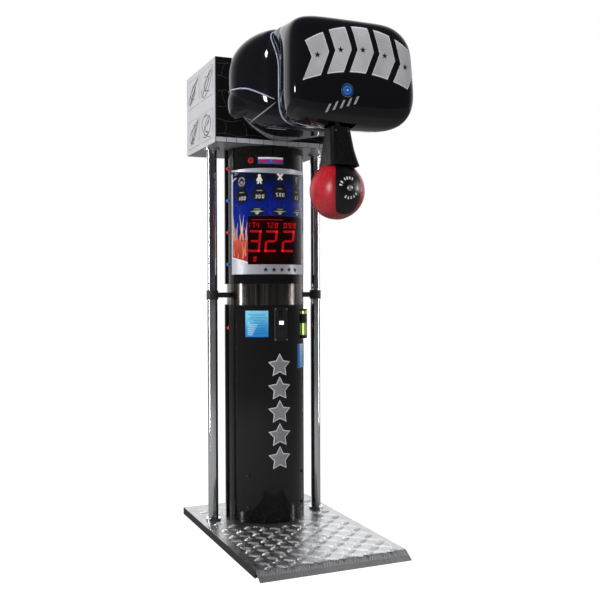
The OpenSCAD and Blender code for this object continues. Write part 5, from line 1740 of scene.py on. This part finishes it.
def make_studio():
    """A white sweep behind and at the sides, a dark room in front, and soft boxes to the left."""
    world = bpy.data.worlds.new("studio")
    bpy.context.scene.world = world
    world.use_nodes = True
    tree = world.node_tree
    tree.nodes.clear()

    def add(kind, **settings):
        node = tree.nodes.new(kind)
        for key, value in settings.items():
            setattr(node, key, value)
        return node

    where = add("ShaderNodeTexCoord")
    behind = add("ShaderNodeVectorMath", operation="DOT_PRODUCT")
    behind.inputs[1].default_value = (0.395, 0.918, 0.05)
    tree.links.new(where.outputs["Generated"], behind.inputs[0])
    ramp = add("ShaderNodeValToRGB")
    stops = [(0.0, (0.035, 0.035, 0.04, 1)), (0.50, (0.07, 0.07, 0.075, 1)), (0.62, (0.26, 0.26, 0.27, 1)),
             (0.88, (0.95, 0.95, 0.96, 1))]
    while len(ramp.color_ramp.elements) < len(stops):
        ramp.color_ramp.elements.new(0.5)
    for element, (place, colour) in zip(ramp.color_ramp.elements, stops):
        element.position, element.color = place, colour
    scale = add("ShaderNodeMapRange")
    scale.inputs["From Min"].default_value = -1
    tree.links.new(behind.outputs["Value"], scale.inputs["Value"])
    tree.links.new(scale.outputs["Result"], ramp.inputs["Fac"])
    seen = add("ShaderNodeBackground")
    seen.inputs["Color"].default_value = (1.0, 1.0, 1.0, 1)
    seen.inputs["Strength"].default_value = 1.0
    room = add("ShaderNodeBackground")
    room.inputs["Strength"].default_value = 1.0
    tree.links.new(ramp.outputs["Color"], room.inputs["Color"])
    ray = add("ShaderNodeLightPath")
    choose = add("ShaderNodeMixShader")
    tree.links.new(ray.outputs["Is Camera Ray"], choose.inputs["Fac"])
    tree.links.new(room.outputs["Background"], choose.inputs[1])
    tree.links.new(seen.outputs["Background"], choose.inputs[2])
    out = add("ShaderNodeOutputWorld")
    tree.links.new(choose.outputs["Shader"], out.inputs["Surface"])

    # Mirrored lamps show in polished pieces, so each shines only on the pieces that it is set for.
    softbox("key_left", (-3.2, -2.6, 2.9), (-0.1, -0.2, 1.5), 0.9, 1.2, 90)
    key_mirror = softbox("key_mirror", (-4.1, -2.0, 2.52), (0.0, -0.4, 1.9), 0.42, 0.30, 24, True)
    shells = bpy.data.collections.new("shell_light_receivers")
    for name in ("fist_shell", "wrist_shell", "thumb_shell"):
        shells.objects.link(bpy.data.objects[name])
    key_mirror.light_linking.receiver_collection = shells
    leather_key = softbox("leather_key", (-2.9, -2.3, 2.1), (0.0, ball_mid.y, 1.55), 0.8, 0.8, 62, True)
    leather_rim = softbox("leather_rim", (2.4, -1.5, 2.0), (0.0, ball_mid.y, 1.6), 0.35, 0.9, 26, True)
    soft = bpy.data.collections.new("leather_light_receivers")
    for name in ("ball_cover", "ball_front_panel", "ball_plug_cap", "sleeve_front_flap", "sleeve_rear_flap"):
        soft.objects.link(bpy.data.objects[name])
    for lamp in (leather_key, leather_rim):
        lamp.light_linking.receiver_collection = soft
    mirrors = [softbox("strip_left", (-3.0, 0.6, 1.2), (0.0, col_y, 1.0), 0.16, 3.2, 40, True),
               softbox("strip_right", (2.8, -0.9, 1.2), (0.0, col_y, 1.0), 0.12, 3.2, 24, True),
               softbox("backdrop_glow", (1.2, 4.6, 2.4), (0.0, 0.0, 0.0), 4.2, 2.4, 20, True)]
    metal = bpy.data.collections.new("metal_light_receivers")
    for name in ("left_pole", "right_pole", "pole_flanges", "pole_clamps", "steel_band",
                 "coin_plate_screws", "ring_plates",
                 "tread_plate"):
        metal.objects.link(frame["nodes"][name])
    for name in ("tread_bars", "display_film_trims", "lamp_rims"):
        metal.objects.link(bpy.data.objects[name])
    for lamp in mirrors:
        lamp.light_linking.receiver_collection = metal
    softbox("side_left", (-4.0, 0.8, 2.4), (0, 0.3, 1.6), 1.0, 1.6, 70)
    softbox("fill_right", (2.8, -3.4, 2.2), (0.1, 0, 1.2), 0.5, 1.2, 24)
    softbox("top", (0.2, -0.6, 4.6), (0, 0, 1), 1.6, 1.6, 60)
    bpy.context.scene.view_settings.view_transform = "Standard"


make_camera()
make_floor()
make_studio()
